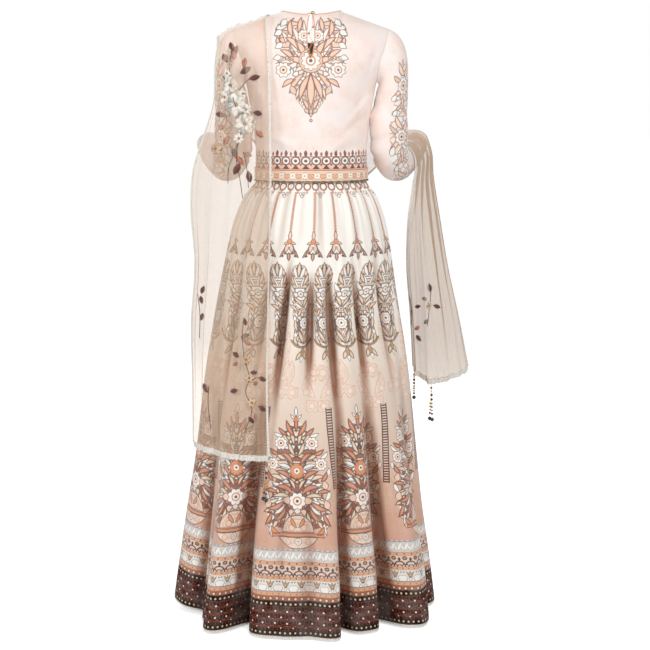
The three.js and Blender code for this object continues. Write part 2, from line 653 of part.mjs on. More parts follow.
// A bead tassel's reach: a slim spindle that hangs from the edging's low edge, clear of the skirt.
for (const { name, side, across, long, radius } of TASSELS) {
  const end = (side === "back" ? backFallAt : forearmFallAt)(across, 1);
  const top = end.clone().add(vec(0, 0, -DUPATTA_EDGE - 2 * SEAM));
  const bottom = clearOfSkirt(top.clone().add(vec(0, 0, -long)), radius + 3);
  const profile = [
    [0, 0],
    [radius, 1],
    [radius, long - 8],
    [radius * 0.5, long - 2],
    [0, long],
  ].map(([r, y]) => new THREE.Vector2(r, y));
  const spindle = new THREE.LatheGeometry(profile, 8);
  const lean = top.clone().sub(bottom).normalize();
  spindle.applyQuaternion(new THREE.Quaternion().setFromUnitVectors(vec(0, 1, 0), lean));
  spindle.translate(...top.clone().addScaledVector(lean, -long).toArray());
  add(name, spindle, COLOURS.beads, 0.4);
}

export default group;
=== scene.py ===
"""Looks of a lehenga outfit: printed skirt, blouse, belt and sheer dupatta, worn and hollow.

Shapes are worked out in millimetres, +Z up, +Y the wearer's back, +X the wearer's left, with the
origin in the middle of the waist. They become metres when they are put in a mesh.
"""
import math
from functools import reduce

import bmesh
import bpy
import numpy as np
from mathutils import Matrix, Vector
from mathutils.bvhtree import BVHTree


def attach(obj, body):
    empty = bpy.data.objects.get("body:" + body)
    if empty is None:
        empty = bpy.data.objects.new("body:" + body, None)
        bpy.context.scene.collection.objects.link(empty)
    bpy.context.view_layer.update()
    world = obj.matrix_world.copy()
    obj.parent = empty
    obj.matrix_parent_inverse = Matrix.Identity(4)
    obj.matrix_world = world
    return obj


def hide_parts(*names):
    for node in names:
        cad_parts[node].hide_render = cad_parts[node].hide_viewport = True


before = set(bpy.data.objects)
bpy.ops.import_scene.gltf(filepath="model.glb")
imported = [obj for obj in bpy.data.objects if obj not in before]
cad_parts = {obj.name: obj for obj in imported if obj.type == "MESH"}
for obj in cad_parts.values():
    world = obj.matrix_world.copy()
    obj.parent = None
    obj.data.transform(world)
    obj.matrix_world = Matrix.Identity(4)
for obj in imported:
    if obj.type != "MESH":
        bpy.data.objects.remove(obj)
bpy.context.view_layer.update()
scene = bpy.context.scene
MM = 0.001


def named(columns, *rows):
    """A table: each row becomes a dict with the columns' names."""
    return [dict(zip(columns.split(), row)) for row in rows]


# ---- Camera, light and floor, in metres ----

FLOOR_Z, FLOOR_REACH = -1.0, 30.0
CAMERA = dict(lens=91.4, sensor=36, place=(-0.031, 3.758, 0.2217), tilt=81.5, turn=180)
LIGHTS = named(
    "name place aim size power",
    ("key", (-0.8, 2.5, 1.9), (0, 0, -0.2), 0.7, 51),
    ("fill", (2.7, 1.9, 0.9), (0, 0, -0.3), 1.6, 30),
    ("front", (0.5, -2.8, 1.2), (0, 0, -0.3), 2.0, 30))
WHITE_SKY, WARM_SKY, WARM_STRENGTH = (1, 1, 1, 1), (1.0, 0.985, 0.97, 1), 0.4


def make_camera():
    """Looks at the outfit's back from 8.5 degrees above, a long lens 3.8 m away."""
    data = bpy.data.cameras.new("camera")
    data.lens = CAMERA["lens"]
    data.sensor_width = CAMERA["sensor"]
    camera = bpy.data.objects.new("camera", data)
    camera.location = CAMERA["place"]
    camera.rotation_euler = (math.radians(CAMERA["tilt"]), 0, math.radians(CAMERA["turn"]))
    scene.collection.objects.link(camera)
    scene.camera = camera


def make_light(name, place, aim, size, power):
    """A square soft light at a place, turned to its aim."""
    data = bpy.data.lights.new(name, "AREA")
    data.size = size
    data.energy = power
    light = bpy.data.objects.new(name, data)
    light.location = place
    light.rotation_euler = (Vector(aim) - Vector(place)).to_track_quat("-Z", "Y").to_euler()
    scene.collection.objects.link(light)


def make_world():
    """White behind the outfit, and a dimmer light from all round on it."""
    world = bpy.data.worlds.new("studio")
    world.use_nodes = True
    tree = world.node_tree
    seen = tree.nodes["Background"]
    seen.inputs["Color"].default_value = WHITE_SKY
    lit = tree.nodes.new("ShaderNodeBackground")
    lit.inputs["Color"].default_value = WARM_SKY
    lit.inputs["Strength"].default_value = WARM_STRENGTH
    path = tree.nodes.new("ShaderNodeLightPath")
    choice = tree.nodes.new("ShaderNodeMixShader")
    tree.links.new(path.outputs["Is Camera Ray"], choice.inputs["Fac"])
    tree.links.new(lit.outputs["Background"], choice.inputs[1])
    tree.links.new(seen.outputs["Background"], choice.inputs[2])
    tree.links.new(choice.outputs["Shader"], tree.nodes["World Output"].inputs["Surface"])
    scene.world = world


def make_studio():
    """The world, three lights and a flat floor."""
    make_world()
    scene.view_settings.view_transform = "Standard"
    for light in LIGHTS:
        make_light(**light)
    mesh = bpy.data.meshes.new("floor")
    signs = [(-1, -1), (1, -1), (1, 1), (-1, 1)]
    corners = [(x * FLOOR_REACH, y * FLOOR_REACH, FLOOR_Z) for x, y in signs]
    mesh.from_pydata(corners, [], [(0, 1, 2, 3)])
    floor = bpy.data.objects.new("floor", mesh)
    scene.collection.objects.link(floor)
    return floor


make_camera()
floor = make_studio()

# ---- Sizes, in millimetres ----

# The waist's half width, half depth and height; the skirt's length, and the shares of it where
# the border rows, the dark band and the lace begin.
WAIST_WIDE, WAIST_DEEP, WAIST_TOP = 126, 99, 6
SKIRT_LENGTH = 1000
BORDER_TOP, BAND_TOP, BAND_END = 0.806, 0.92, 0.996
# The turns of the skirt's and the belt's halves, in degrees from the back's middle to the left.
HALVES = {"back": (-90, 90), "front": (90, 270)}
# The neckline: half width, depths, and heights behind, at the sides and in front.
NECK = {"half": 66, "deepBack": 60, "deepFront": 66, "back": 360, "side": 370, "front": 300}
# The shoulder's half width and slope, and the share of the height where a panel starts to roll
# over to it; then the heights of the blouse's and the armhole's lower ends.
SHOULDER_HALF, SHOULDER_SLOPE, ROLL_FROM = 172, 0.36, 0.748
BLOUSE_LOW, ARMHOLE_LOW = 6.4, 207
KEYHOLE = {"top": 365, "bottom": 266, "half": 8}
# How far the lace reaches beyond the dupatta's ends.
EDGING = 12

# Skirt sections, by height: half width, depth behind and before, and the swing to the left.
SKIRT_SECTIONS = named(
    "z wide back front swing",
    (6, 126, 99, 99, 0), (-12, 126, 99, 99, 0), (-45, 148, 116, 112, 1), (-100, 170, 135, 126, 3),
    (-190, 190, 156, 144, 6), (-280, 207, 171, 160, 9), (-375, 224, 184, 176, 10),
    (-470, 237, 196, 189, 11), (-640, 253, 219, 210, 12), (-760, 267, 237, 226, 15),
    (-870, 282, 254, 240, 15), (-995, 298, 270, 252, 16))
# Main folds: turn from the back's middle towards the left at the hem and at the top, width,
# how far it stands out, where it begins, and how far it leans sideways over its neighbour.
FOLDS = named(
    "hem top wide out start lean",
    (119, 104, 9, 34, 0.35, 8), (99, 90, 7, -32, 0.3, -6), (82, 76, 8, 10, 0.3, 0),
    (62, 56, 7, -36, 0.3, 0), (42, 30, 6.5, 36, 0.3, -10), (30, 16, 4.5, -60, 0.26, 4),
    (12, 4, 13, 12, 0.1, 0), (-10, -8, 6.5, 26, 0.32, -12), (-19, -17, 3.4, -46, 0.3, 8),
    (-41, -27, 4.4, -58, 0.3, -6), (-54, -44, 10, 42, 0.3, 6), (-73, -62, 6, -32, 0.3, 0),
    (-90, -80, 8, 8, 0.3, 0), (-107, -96, 7, -22, 0.3, 5), (-124, -112, 8, 24, 0.3, -8),
    (-142, -130, 7, -26, 0.34, 6), (-160, -150, 8, 26, 0.3, -6), (-176, -168, 6, -24, 0.38, 0),
    (168, 172, 8, 24, 0.3, 6), (151, 150, 7, -26, 0.36, -6), (136, 126, 7, 14, 0.34, 0))
# Lesser creases: turn where they start and end, width, depth, and the share of the length where
# they start, are deepest and end.
CREASES = named(
    "top low wide out start deep end",
    (12, 19, 2.6, -32, 0.14, 0.3, 0.62), (-3, -1, 2.5, -30, 0.18, 0.31, 0.5),
    (-13, -17, 2.5, -31, 0.16, 0.32, 0.56), (-31, -36, 2.6, -22, 0.1, 0.34, 0.5),
    (5, 6, 3.0, 8, 0.1, 0.26, 0.6), (-8, -9, 2.8, 8, 0.1, 0.28, 0.5),
    (-22, -25, 3.2, 9, 0.08, 0.3, 0.5), (26, 30, 2.8, -20, 0.12, 0.3, 0.5),
    (38, 42, 3.6, 10, 0.1, 0.3, 0.55), (50, 54, 3.0, -14, 0.15, 0.35, 0.6),
    (-52, -58, 3.0, -12, 0.12, 0.3, 0.6), (-68, -74, 3.4, 9, 0.1, 0.33, 0.6),
    (8, 14, 3.4, -9, 0.5, 0.75, 1.2), (-4, -2, 3.2, -4, 0.55, 0.85, 1.2),
    (50, 52, 3.0, -10, 0.6, 0.9, 1.2), (-48, -50, 2.6, -9, 0.5, 0.8, 1.2),
    (-60, -63, 2.6, 8, 0.5, 0.85, 1.2), (104, 108, 3.0, -14, 0.12, 0.32, 0.6),
    (128, 131, 2.8, -16, 0.14, 0.34, 0.62), (146, 144, 3.2, 9, 0.1, 0.3, 0.55),
    (163, 160, 2.6, -18, 0.16, 0.32, 0.58), (181, 184, 2.8, -15, 0.12, 0.3, 0.55),
    (196, 192, 3.0, 10, 0.1, 0.32, 0.6), (214, 211, 2.6, -20, 0.18, 0.33, 0.6),
    (232, 236, 3.0, -14, 0.12, 0.3, 0.56), (250, 254, 3.2, 9, 0.1, 0.34, 0.6))
# The hem rises a little at the wearer's left: how far, round which turn, how wide, and from
# which share of the length on.
RISE = dict(up=22, turn=92, wide=22, start=0.3)
# Fine gathers under the belt: how many round, how deep, where along the turn, and their length.
GATHERS = named(
    "count out phase length",
    (23, 1.9, 0.4, 0.46), (37, 1.5, 2.1, 0.3), (51, 1.1, 4.4, 0.2), (68, 0.7, 1.2, 0.12))
# Blouse sections, by height: half width, depth behind and before, and half width at the armhole.
BLOUSE_SECTIONS = named(
    "z wide back front edge",
    (6, 126, 99, 99, 126), (32, 126, 99, 99, 126), (70, 126, 101, 104, 126),
    (130, 132.6, 107, 116, 132.6), (180, 141.8, 112, 125, 141.8), (207, 146, 114, 127, 146),
    (250, 172, 113, 123, 152), (290, 186, 109, 114, 164), (332, 190, 104, 106, 172),
    (372, 190, 100, 100, 172))
# Right sleeve rings, cap to cuff: middle, half width across the arm and half depth.
SLEEVE_RINGS = np.array([
    [182, 2, 186, 36, 50],
    [175.3, 4, 140, 41.8, 47],
    [175.3, 4, 92, 42.6, 45],
    [181, -9, 50, 41, 43],
    [193, -46, 29, 40, 41],
    [213, -100, 36, 37, 37],
    [232, -150, 52, 33, 33],
    [246, -192, 68, 29, 29],
])
# The dupatta's cross-sections, each with four places from the inner edge to the outer one: up the
# back, over the left shoulder, across the front, over the right forearm and down its side.
BACK_FALL = [
    [[100, 0, 361.4], [136, 0, 348], [174, 0, 338.5], [208, 0, 316]],
    [[99, 62, 350], [136, 56, 337], [174, 50, 320], [208, 34, 287]],
    [[96, 99, 292], [136, 91, 280], [177, 72, 262], [213, 42, 236]],
    [[92, 103, 210], [136, 94, 200], [178, 74, 190], [216, 38, 172]],
    [[91, 104, 120], [136, 94, 112], [180, 72, 106], [238, 22, 100]],
    [[90, 106, 30], [134, 96, 26], [184, 66, 22], [266, 8, 16]],
    [[90, 116, -60], [136, 106, -62], [194, 68, -66], [272, 6, -70]],
    [[92, 150, -190], [140, 128, -192], [204, 84, -194], [264, 14, -196]],
    [[95, 172, -330], [144, 156, -331], [212, 106, -332], [273, 22, -334]],
    [[97, 194, -470], [148, 178, -471], [220, 122, -472], [271, 40, -474]],
    [[94, 214, -600], [150, 196, -602], [216, 142, -602], [270, 66, -600]],
]
FRONT_SWAG = [
    [[86, -74, 349], [126, -64, 341], [167, -52, 326], [208, -36, 292]],
    [[58, -131, 282], [100, -126, 262], [146, -106, 240], [190, -66, 214]],
    [[26, -146, 222], [62, -152, 180], [100, -146, 130], [138, -118, 82]],
    [[-26, -150, 170], [-6, -164, 112], [16, -170, 50], [38, -166, -14]],
    [[-86, -146, 132], [-84, -166, 84], [-82, -178, 30], [-80, -184, -30]],
    [[-140, -128, 112], [-142, -156, 84], [-146, -182, 50], [-150, -204, 10]],
    [[-180, -76, 82], [-186, -112, 84], [-192, -150, 88], [-200, -186, 90]],
]
FOREARM_FALL = [
    [[-200.5, -64, 73], [-214.5, -104, 78], [-228.5, -146, 88], [-241.5, -184, 100]],
    [[-226, -58, 64], [-240, -102, 70], [-255, -146, 82], [-268, -182, 91]],
    [[-240, -44, 34], [-256, -94, 40], [-272, -142, 48], [-282, -178, 56]],
    [[-234, -34, -24], [-252, -70, -20], [-270, -118, -14], [-288, -158, -8]],
    [[-224, -40, -110], [-250, -44, -110], [-280, -92, -108], [-304, -146, -106]],
    [[-222, -60, -210], [-258, -36, -212], [-294, -78, -212], [-322, -136, -210]],
    [[-232, -74, -330], [-268, -34, -334], [-312, -70, -334], [-348, -124, -330]],
    [[-240, -88, -452], [-276, -40, -474], [-328, -66, -468], [-372, -118, -458]],
]

# ---- Numbers ----


def mix(a, b, t):
    """a at 0, b at 1, and a straight line between."""
    return a + (b - a) * t


def bell(distance, wide):
    """A bell curve: 1 in the middle and about a third at the width."""
    return np.exp(-((distance / wide) ** 2))


def apart(turn, middle):
    """Degrees from one turn to another, between -180 and 180."""
    return (turn - middle + 540) % 360 - 180


def round_turns(count):
    """Evenly spaced angles once round, in radians."""
    return np.linspace(0, 2 * np.pi, count, endpoint=False)


def together(*fields):
    """Arrays brought to one shape and stacked as the parts of a vector."""
    return np.stack(np.broadcast_arrays(*fields), -1)


def smooth(t):
    """0 below 0, 1 above 1, and an S-curve between."""
    t = np.clip(t, 0, 1)
    return t * t * (3 - 2 * t)


def unit(v):
    """Vectors brought to a length of one."""
    return v / np.maximum(np.linalg.norm(v, axis=-1, keepdims=True), 1e-9)


def column(table, name, z):
    """A table's column at a height: cubic curves with slopes from the rows either side."""
    rows = sorted(table, key=lambda row: row["z"])
    zs = np.array([row["z"] for row in rows], float)
    ys = np.array([row[name] for row in rows], float)
    slopes = (np.append(ys[1:], ys[-1]) - np.insert(ys[:-1], 0, ys[0]))
    slopes = slopes / (np.append(zs[1:], zs[-1]) - np.insert(zs[:-1], 0, zs[0]))
    i = np.clip(np.searchsorted(zs, z), 1, len(zs) - 1)
    span = zs[i] - zs[i - 1]
    t = np.clip((z - zs[i - 1]) / span, 0, 1)
    bend = (2 * t**3 - 3 * t**2 + 1) * ys[i - 1] + (t**3 - 2 * t**2 + t) * slopes[i - 1] * span
    return bend + (3 * t**2 - 2 * t**3) * ys[i] + (t**3 - t**2) * slopes[i] * span


def spline(points, t):
    """Centripetal Catmull-Rom curves through points (count x curves x 3) at t from 0 to 1."""
    points = np.concatenate([[2 * points[0] - points[1]], points, [2 * points[-1] - points[-2]]])
    place = np.clip(t, 0, 1) * (len(points) - 3)
    i = np.minimum(place.astype(int), len(points) - 4)
    w = (place - i)[:, None, None]
    p0, p1, p2, p3 = (points[i + k] for k in range(4))
    root = [np.maximum(np.linalg.norm(b - a, axis=-1, keepdims=True), 1e-6) ** 0.5
            for a, b in ((p0, p1), (p1, p2), (p2, p3))]
    m = (p1 - p0) / root[0] - (p2 - p0) / (root[0] + root[1]) + (p2 - p1) / root[1]
    n = (p2 - p1) / root[1] - (p3 - p1) / (root[1] + root[2]) + (p3 - p2) / root[2]
    m, n = m * root[1], n * root[1]
    return p1 + m * w + (3 * (p2 - p1) - 2 * m - n) * w**2 + (2 * (p1 - p2) + m + n) * w**3


# ---- Meshes ----


def new_object(name, points, faces):
    """An object from points in millimetres and faces, a list of tuples or an array."""
    mesh = bpy.data.meshes.new(name)
    faces = faces.tolist() if isinstance(faces, np.ndarray) else faces
    mesh.from_pydata((np.asarray(points) * MM).tolist(), [], faces)
    mesh.polygons.foreach_set("use_smooth", [True] * len(mesh.polygons))
    piece = bpy.data.objects.new(name, mesh)
    scene.collection.objects.link(piece)
    return piece


def grid_normals(grid, closed=False):
    """Unit normals of a grid of points (rows x columns x 3): along the row crossed with down."""
    if closed:
        along = np.roll(grid, -1, 1) - np.roll(grid, 1, 1)
    else:
        along = np.gradient(grid, axis=1)
    return unit(np.cross(along, np.gradient(grid, axis=0)))


def shell_faces(rows, columns, closed):
    """Faces of a wall in three arrays: outer skin, inner skin turned round, and rims."""
    half = rows * columns
    spans = columns if closed else columns - 1
    i, j = np.meshgrid(np.arange(spans), np.arange(rows - 1))
    a = (j * columns + i).ravel()
    b = (j * columns + (i + 1) % columns).ravel()
    outer = np.stack([a, b, b + columns, a + columns], 1)
    inner = np.stack([a, a + columns, b + columns, b], 1) + half
    i = np.arange(spans)
    k = (i + 1) % columns
    last = (rows - 1) * columns
    rims = [np.stack([i, i + half, k + half, k], 1)]
    rims.append(np.stack([last + i, last + k, last + half + k, last + half + i], 1))
    if not closed:
        a = np.arange(rows - 1) * columns
        b = a + columns - 1
        rims.append(np.stack([a, a + columns, a + columns + half, a + half], 1))
        rims.append(np.stack([b, b + half, b + columns + half, b + columns], 1))
    return outer, inner, np.concatenate(rims)


def bake_map(mesh, rows, columns, counts):
    """A map without overlaps: the outer skin over most of the square, the inner skin and the
    rims in strips at its foot. counts are the numbers of outer, inner and rim faces."""
    loops = np.zeros(len(mesh.loops), int)
    mesh.loops.foreach_get("vertex_index", loops)
    half = rows * columns
    within = loops % half
    u = (within % columns) / (columns - 1)
    v = 1 - (within // columns) / (rows - 1)
    uv = np.stack([u, v], 1)
    outer, inner, rims = (4 * n for n in counts)
    uv[:outer] = uv[:outer] * [0.996, 0.87] + [0.002, 0.128]
    uv[outer:outer + inner] = uv[outer:outer + inner] * [0.996, 0.09] + [0.002, 0.03]
    face = np.arange(counts[2]) / counts[2]
    wide = 0.9 / counts[2]
    corner = np.array([[0, 0], [0, 1], [1, 1], [1, 0]])
    box = np.stack([np.repeat(face, 4), np.full(rims, 0.004)], 1)
    uv[outer + inner:] = box + np.tile(corner, (counts[2], 1)) * [wide, 0.018]
    mesh.uv_layers.new(name="OFBake").data.foreach_set("uv", uv.astype(np.float32).ravel())


def shell(name, grid, thick, inwards=1, closed=False, printed=None, extra=None):
    """A thin closed wall: the outer skin is the grid, the inner skin the grid moved along its own
    normals by the thickness, and strips close the rims. printed (rows x columns x 3) is kept as
    the attribute "print", which patterns read. The attribute "inside" is 1 on the inner skin."""
    rows, columns = grid.shape[:2]
    normals = grid_normals(grid, closed) * inwards
    points = np.concatenate([grid.reshape(-1, 3), (grid - normals * thick).reshape(-1, 3)])
    parts = shell_faces(rows, columns, closed)
    faces = np.concatenate(parts)
    if inwards < 0:
        faces = faces[:, ::-1]
    piece = new_object(name, points, faces)
    mesh = piece.data
    if not closed:
        bake_map(mesh, rows, columns, [len(part) for part in parts])
    half = rows * columns
    inside = np.repeat([0.0, 1.0], half).astype(np.float32)
    mesh.attributes.new("inside", "FLOAT", "POINT").data.foreach_set("value", inside)
    if printed is not None:
        values = np.concatenate([printed.reshape(-1, 3)] * 2).astype(np.float32)
        attribute = mesh.attributes.new("print", "FLOAT_VECTOR", "POINT")
        attribute.data.foreach_set("vector", values.ravel())
    for label, field in (extra or {}).items():
        values = np.concatenate([field.ravel()] * 2).astype(np.float32)
        mesh.attributes.new(label, "FLOAT", "POINT").data.foreach_set("value", values)
    sharpen_rims(mesh, sum(len(part) for part in parts[:2]))
    return piece


def sharpen_rims(mesh, first):
    """Marks the edges of the rim faces sharp, so that the skins shade smoothly up to them."""
    starts = np.zeros(len(mesh.polygons), int)
    mesh.polygons.foreach_get("loop_start", starts)
    edges = np.zeros(len(mesh.loops), int)
    mesh.loops.foreach_get("edge_index", edges)
    sharp = np.zeros(len(mesh.edges), bool)
    sharp[edges[starts[first]:]] = True
    attribute = mesh.attributes.new("sharp_edge", "BOOLEAN", "EDGE")
    attribute.data.foreach_set("value", sharp)


def settle(piece, slot, *nodes, material=None):
    """The piece rides on the body, stands for its nodes and takes its finish."""
    if material:
        piece.data.materials.append(material)
    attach(piece, "root")
    if nodes:
        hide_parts(*nodes)
    return piece


# ---- Skirt surface ----


def fold_shift(turn, share):
    """How far the folds stand out and lean at a turn in degrees and a share of the length: sums
    of bell curves round each fold's own turn, growing from where the fold begins."""
    out = np.zeros(np.broadcast(turn, share).shape)
    lean = np.zeros_like(out)
    for fold in FOLDS:
        begun = smooth((share - fold["start"]) / (1 - fold["start"]))
        middle = mix(fold["top"], fold["hem"], smooth(share * 1.1))
        height = begun * bell(apart(turn, middle), fold["wide"])
        out += fold["out"] * height
        lean += fold["lean"] * height
    for crease in CREASES:
        rise = smooth((share - crease["start"]) / (crease["deep"] - crease["start"]))
        fall = 1 - smooth((share - crease["deep"]) / (crease["end"] - crease["deep"]))
        along = (share - crease["start"]) / (crease["end"] - crease["start"])
        middle = mix(crease["top"], crease["low"], np.clip(along, 0, 1))
        out += crease["out"] * rise * fall * bell(apart(turn, middle), crease["wide"])
    for gather in GATHERS:
        begun = smooth(share / 0.04) * (1 - smooth(share / gather["length"]))
        drift = 0.5 * np.sin(np.radians(turn) * 3 + gather["phase"])
        wave = np.cos(np.radians(turn) * gather["count"] + gather["phase"] + drift)
        out += gather["out"] * begun * wave * (1 + share * 4)
    return out, lean


def skirt_at(turn, share, out=0.0):
    """The skirt's face: an ellipse of its section, moved out along the ellipse's normal by the
    folds and sideways along its tangent by their lean."""
    z = WAIST_TOP - SKIRT_LENGTH * share + 0 * turn
    s, c = np.sin(np.radians(turn)), np.cos(np.radians(turn))
    wide = column(SKIRT_SECTIONS, "wide", z)
    back = column(SKIRT_SECTIONS, "back", z)
    deep = np.where(c > 0, back, column(SKIRT_SECTIONS, "front", z))
    reach, lean = fold_shift(turn, share)
    reach = reach + out
    normal = unit(np.stack([s / wide, c / deep], -1))
    swing = column(SKIRT_SECTIONS, "swing", z)
    x = swing + wide * s + normal[..., 0] * reach + normal[..., 1] * lean
    y = deep * c + normal[..., 1] * reach - normal[..., 0] * lean
    rise = RISE["up"] * bell(apart(turn, RISE["turn"]), RISE["wide"])
    rise = rise * smooth((share - RISE["start"]) / (1 - RISE["start"]))
    return np.stack([x, y, z + rise], -1)


FINE = 8  # points a degree, where lengths along the folds are added up


def even_turns(low, high, shares, columns):
    """Turns between two side seams, evenly spaced along the cloth at each height, and the
    cloth's width at each height."""
    fine = np.linspace(low, high, (high - low) * FINE + 1)[None, :]
    section = skirt_at(fine + 0 * shares[:, None], shares[:, None] + 0 * fine)
    steps = np.linalg.norm(np.diff(section, axis=1), axis=-1)
    length = np.concatenate([np.zeros((len(shares), 1)), np.cumsum(steps, 1)], 1)
    part = np.linspace(0, 1, columns)
    turns = np.stack([np.interp(part * row[-1], row, fine[0]) for row in length])
    return turns, length[:, -1]


def skirt_grid(side, shares, columns, out=0.0):
    """A half of the skirt between two heights. printed holds, in this order, the place round the
    half from 0 to 1 (1 to 2 in front), the distance down and the half's width, in millimetres."""
    turns, width = even_turns(*HALVES[side], shares, columns)
    grid = skirt_at(turns, shares[:, None] + 0 * turns, out)
    part = np.linspace(0, 1, columns) + (0 if side == "back" else 1)
    return grid, together(part[None, :], shares[:, None] * SKIRT_LENGTH, width[:, None])


# ---- Blouse surface ----


def top_edge(x, lowest):
    """The neckline's dip between the neck's sides, then the shoulder's slope."""
    inside = np.abs(x) / NECK["half"]
    neck = lowest + (NECK["side"] - lowest) * inside**2
    return np.where(inside < 1, neck, NECK["side"] - SHOULDER_SLOPE * (np.abs(x) - NECK["half"]))


def panel_at(x_share, up, front, half_hole=0.0):
    """A blouse panel: x_share from -1 to 1 across, up from 0 to 1. Below the roll it follows the
    sections; over it, it turns a quarter ellipse towards the neckline and the shoulder."""
    rolled = np.radians(90) * np.clip((up - ROLL_FROM) / (1 - ROLL_FROM), 0, 1)
    rise = np.minimum(up, ROLL_FROM) + (1 - ROLL_FROM) * np.sin(rolled)
    lowest = NECK["front"] if front else NECK["back"]
    edge_top = top_edge(SHOULDER_HALF, lowest)
    edge = column(BLOUSE_SECTIONS, "edge", mix(BLOUSE_LOW, edge_top, rise))
    side = np.abs(x_share)
    x = np.sign(x_share) * mix(half_hole, edge, np.sin(side * np.pi / 2))
    z = mix(BLOUSE_LOW, top_edge(x, lowest), rise)
    wide = column(BLOUSE_SECTIONS, "wide", z)
    deep = column(BLOUSE_SECTIONS, "front" if front else "back", z)
    neck_deep = NECK["deepFront"] if front else NECK["deepBack"]
    neck = neck_deep * np.sqrt(np.clip(1 - (x / NECK["half"]) ** 2, 0, 1))
    y = mix(neck, deep * np.sqrt(np.clip(1 - (x / wide) ** 2, 0, 1)), np.cos(rolled))
    return np.stack([x, -y if front else y, z], -1)


# ---- Shader maths ----


def operator(operation, flipped=False):
    """A method that puts a Math node between a value and another value or number."""
    def method(self, other):
        pair = [other, self] if flipped else [self, other]
        return self.tree.add("ShaderNodeMath", {"operation": operation}, pair)
    return method


class Value:
    """A node's output. Python's operators on it add Math nodes."""

    def __init__(self, tree, socket):
        self.tree = tree
        self.socket = socket

    __add__ = operator("ADD")
    __radd__ = operator("ADD", True)
    __sub__ = operator("SUBTRACT")
    __rsub__ = operator("SUBTRACT", True)
    __mul__ = operator("MULTIPLY")
    __rmul__ = operator("MULTIPLY", True)
    __truediv__ = operator("DIVIDE")
    __rtruediv__ = operator("DIVIDE", True)
    __or__ = operator("MINIMUM")
    __and__ = operator("MAXIMUM")

    def __abs__(self):
        return self.math("ABSOLUTE")

    def math(self, operation, *others):
        return self.tree.add("ShaderNodeMath", {"operation": operation}, [self, *others])

    def times_plus(self, factor, addend):
        return self.math("MULTIPLY_ADD", factor, addend)

    def fract(self):
        return self.math("FRACT")


class Tree:
    """A material's nodes."""

    def __init__(self, name):
        self.material = bpy.data.materials.new(name)
        self.material.use_nodes = True
        self.nodes = self.material.node_tree.nodes
        self.links = self.material.node_tree.links
        self.nodes.clear()

    def add(self, kind, settings=None, inputs=(), output=0):
        """A node of a kind: its settings are set first, then its inputs, by name or by number."""
        node = self.nodes.new(kind)
        for key, value in (settings or {}).items():
            if key == "stops":
                set_stops(node.color_ramp, value)
            else:
                setattr(node, key, value)
        pairs = inputs.items() if isinstance(inputs, dict) else enumerate(inputs)
        for key, value in pairs:
            if isinstance(value, Value):
                self.links.new(value.socket, node.inputs[key])
            else:
                node.inputs[key].default_value = value
        return Value(self, node.outputs[output]) if len(node.outputs) else None

    def split(self, vector):
        """The three parts of a vector, from one node."""
        x = self.add("ShaderNodeSeparateXYZ", None, [vector])
        return x, Value(self, x.socket.node.outputs[1]), Value(self, x.socket.node.outputs[2])

    def attribute(self, name):
        """A number kept on the mesh, or the vector "print"."""
        settings = {"attribute_name": name}
        return self.add("ShaderNodeAttribute", settings, (), 1 if name == "print" else 2)

    def place(self):
        """Object coordinates, in metres."""
        return self.add("ShaderNodeTexCoord", None, (), 3)

    def colour_mix(self, a, b, factor):
        return self.add("ShaderNodeMix", {"data_type": "RGBA"}, {0: factor, 6: a, 7: b}, 2)

    def noise(self, vector, scale, detail=2.0, roughness=0.5):
        inputs = {"Vector": vector, "Scale": scale, "Detail": detail, "Roughness": roughness}
        return self.add("ShaderNodeTexNoise", None, inputs)

    def ramp(self, value, low, high, start=0.0, end=1.0):
        """A value between low and high, turned into start to end."""
        return self.add("ShaderNodeMapRange", None, [value, low, high, start, end])

    def surface(self, inputs, displacement=None):
        """The principled surface, the output, and a bump from a height in millimetres."""
        if displacement is not None:
            bump = {"Strength": 1.0, "Distance": 0.001, "Height": displacement}
            inputs["Normal"] = self.add("ShaderNodeBump", None, bump)
        shader = self.add("ShaderNodeBsdfPrincipled", None, inputs)
        self.add("ShaderNodeOutputMaterial", None, {"Surface": shader})
        return self.material


def set_stops(ramp, stops):
    """Fills a colour ramp with (place, colour) stops."""
    while len(ramp.elements) < len(stops):
        ramp.elements.new(1.0)
    for element, (place, colour) in zip(ramp.elements, stops):
        element.position = place
        element.color = colour


def rgb(red, green, blue):
    """A colour given in the usual 0 to 255 steps, made linear."""
    steps = [c / 255 for c in (red, green, blue)]
    linear = [c / 12.92 if c < 0.04045 else ((c + 0.055) / 1.055) ** 2.4 for c in steps]
    return (*linear, 1.0)


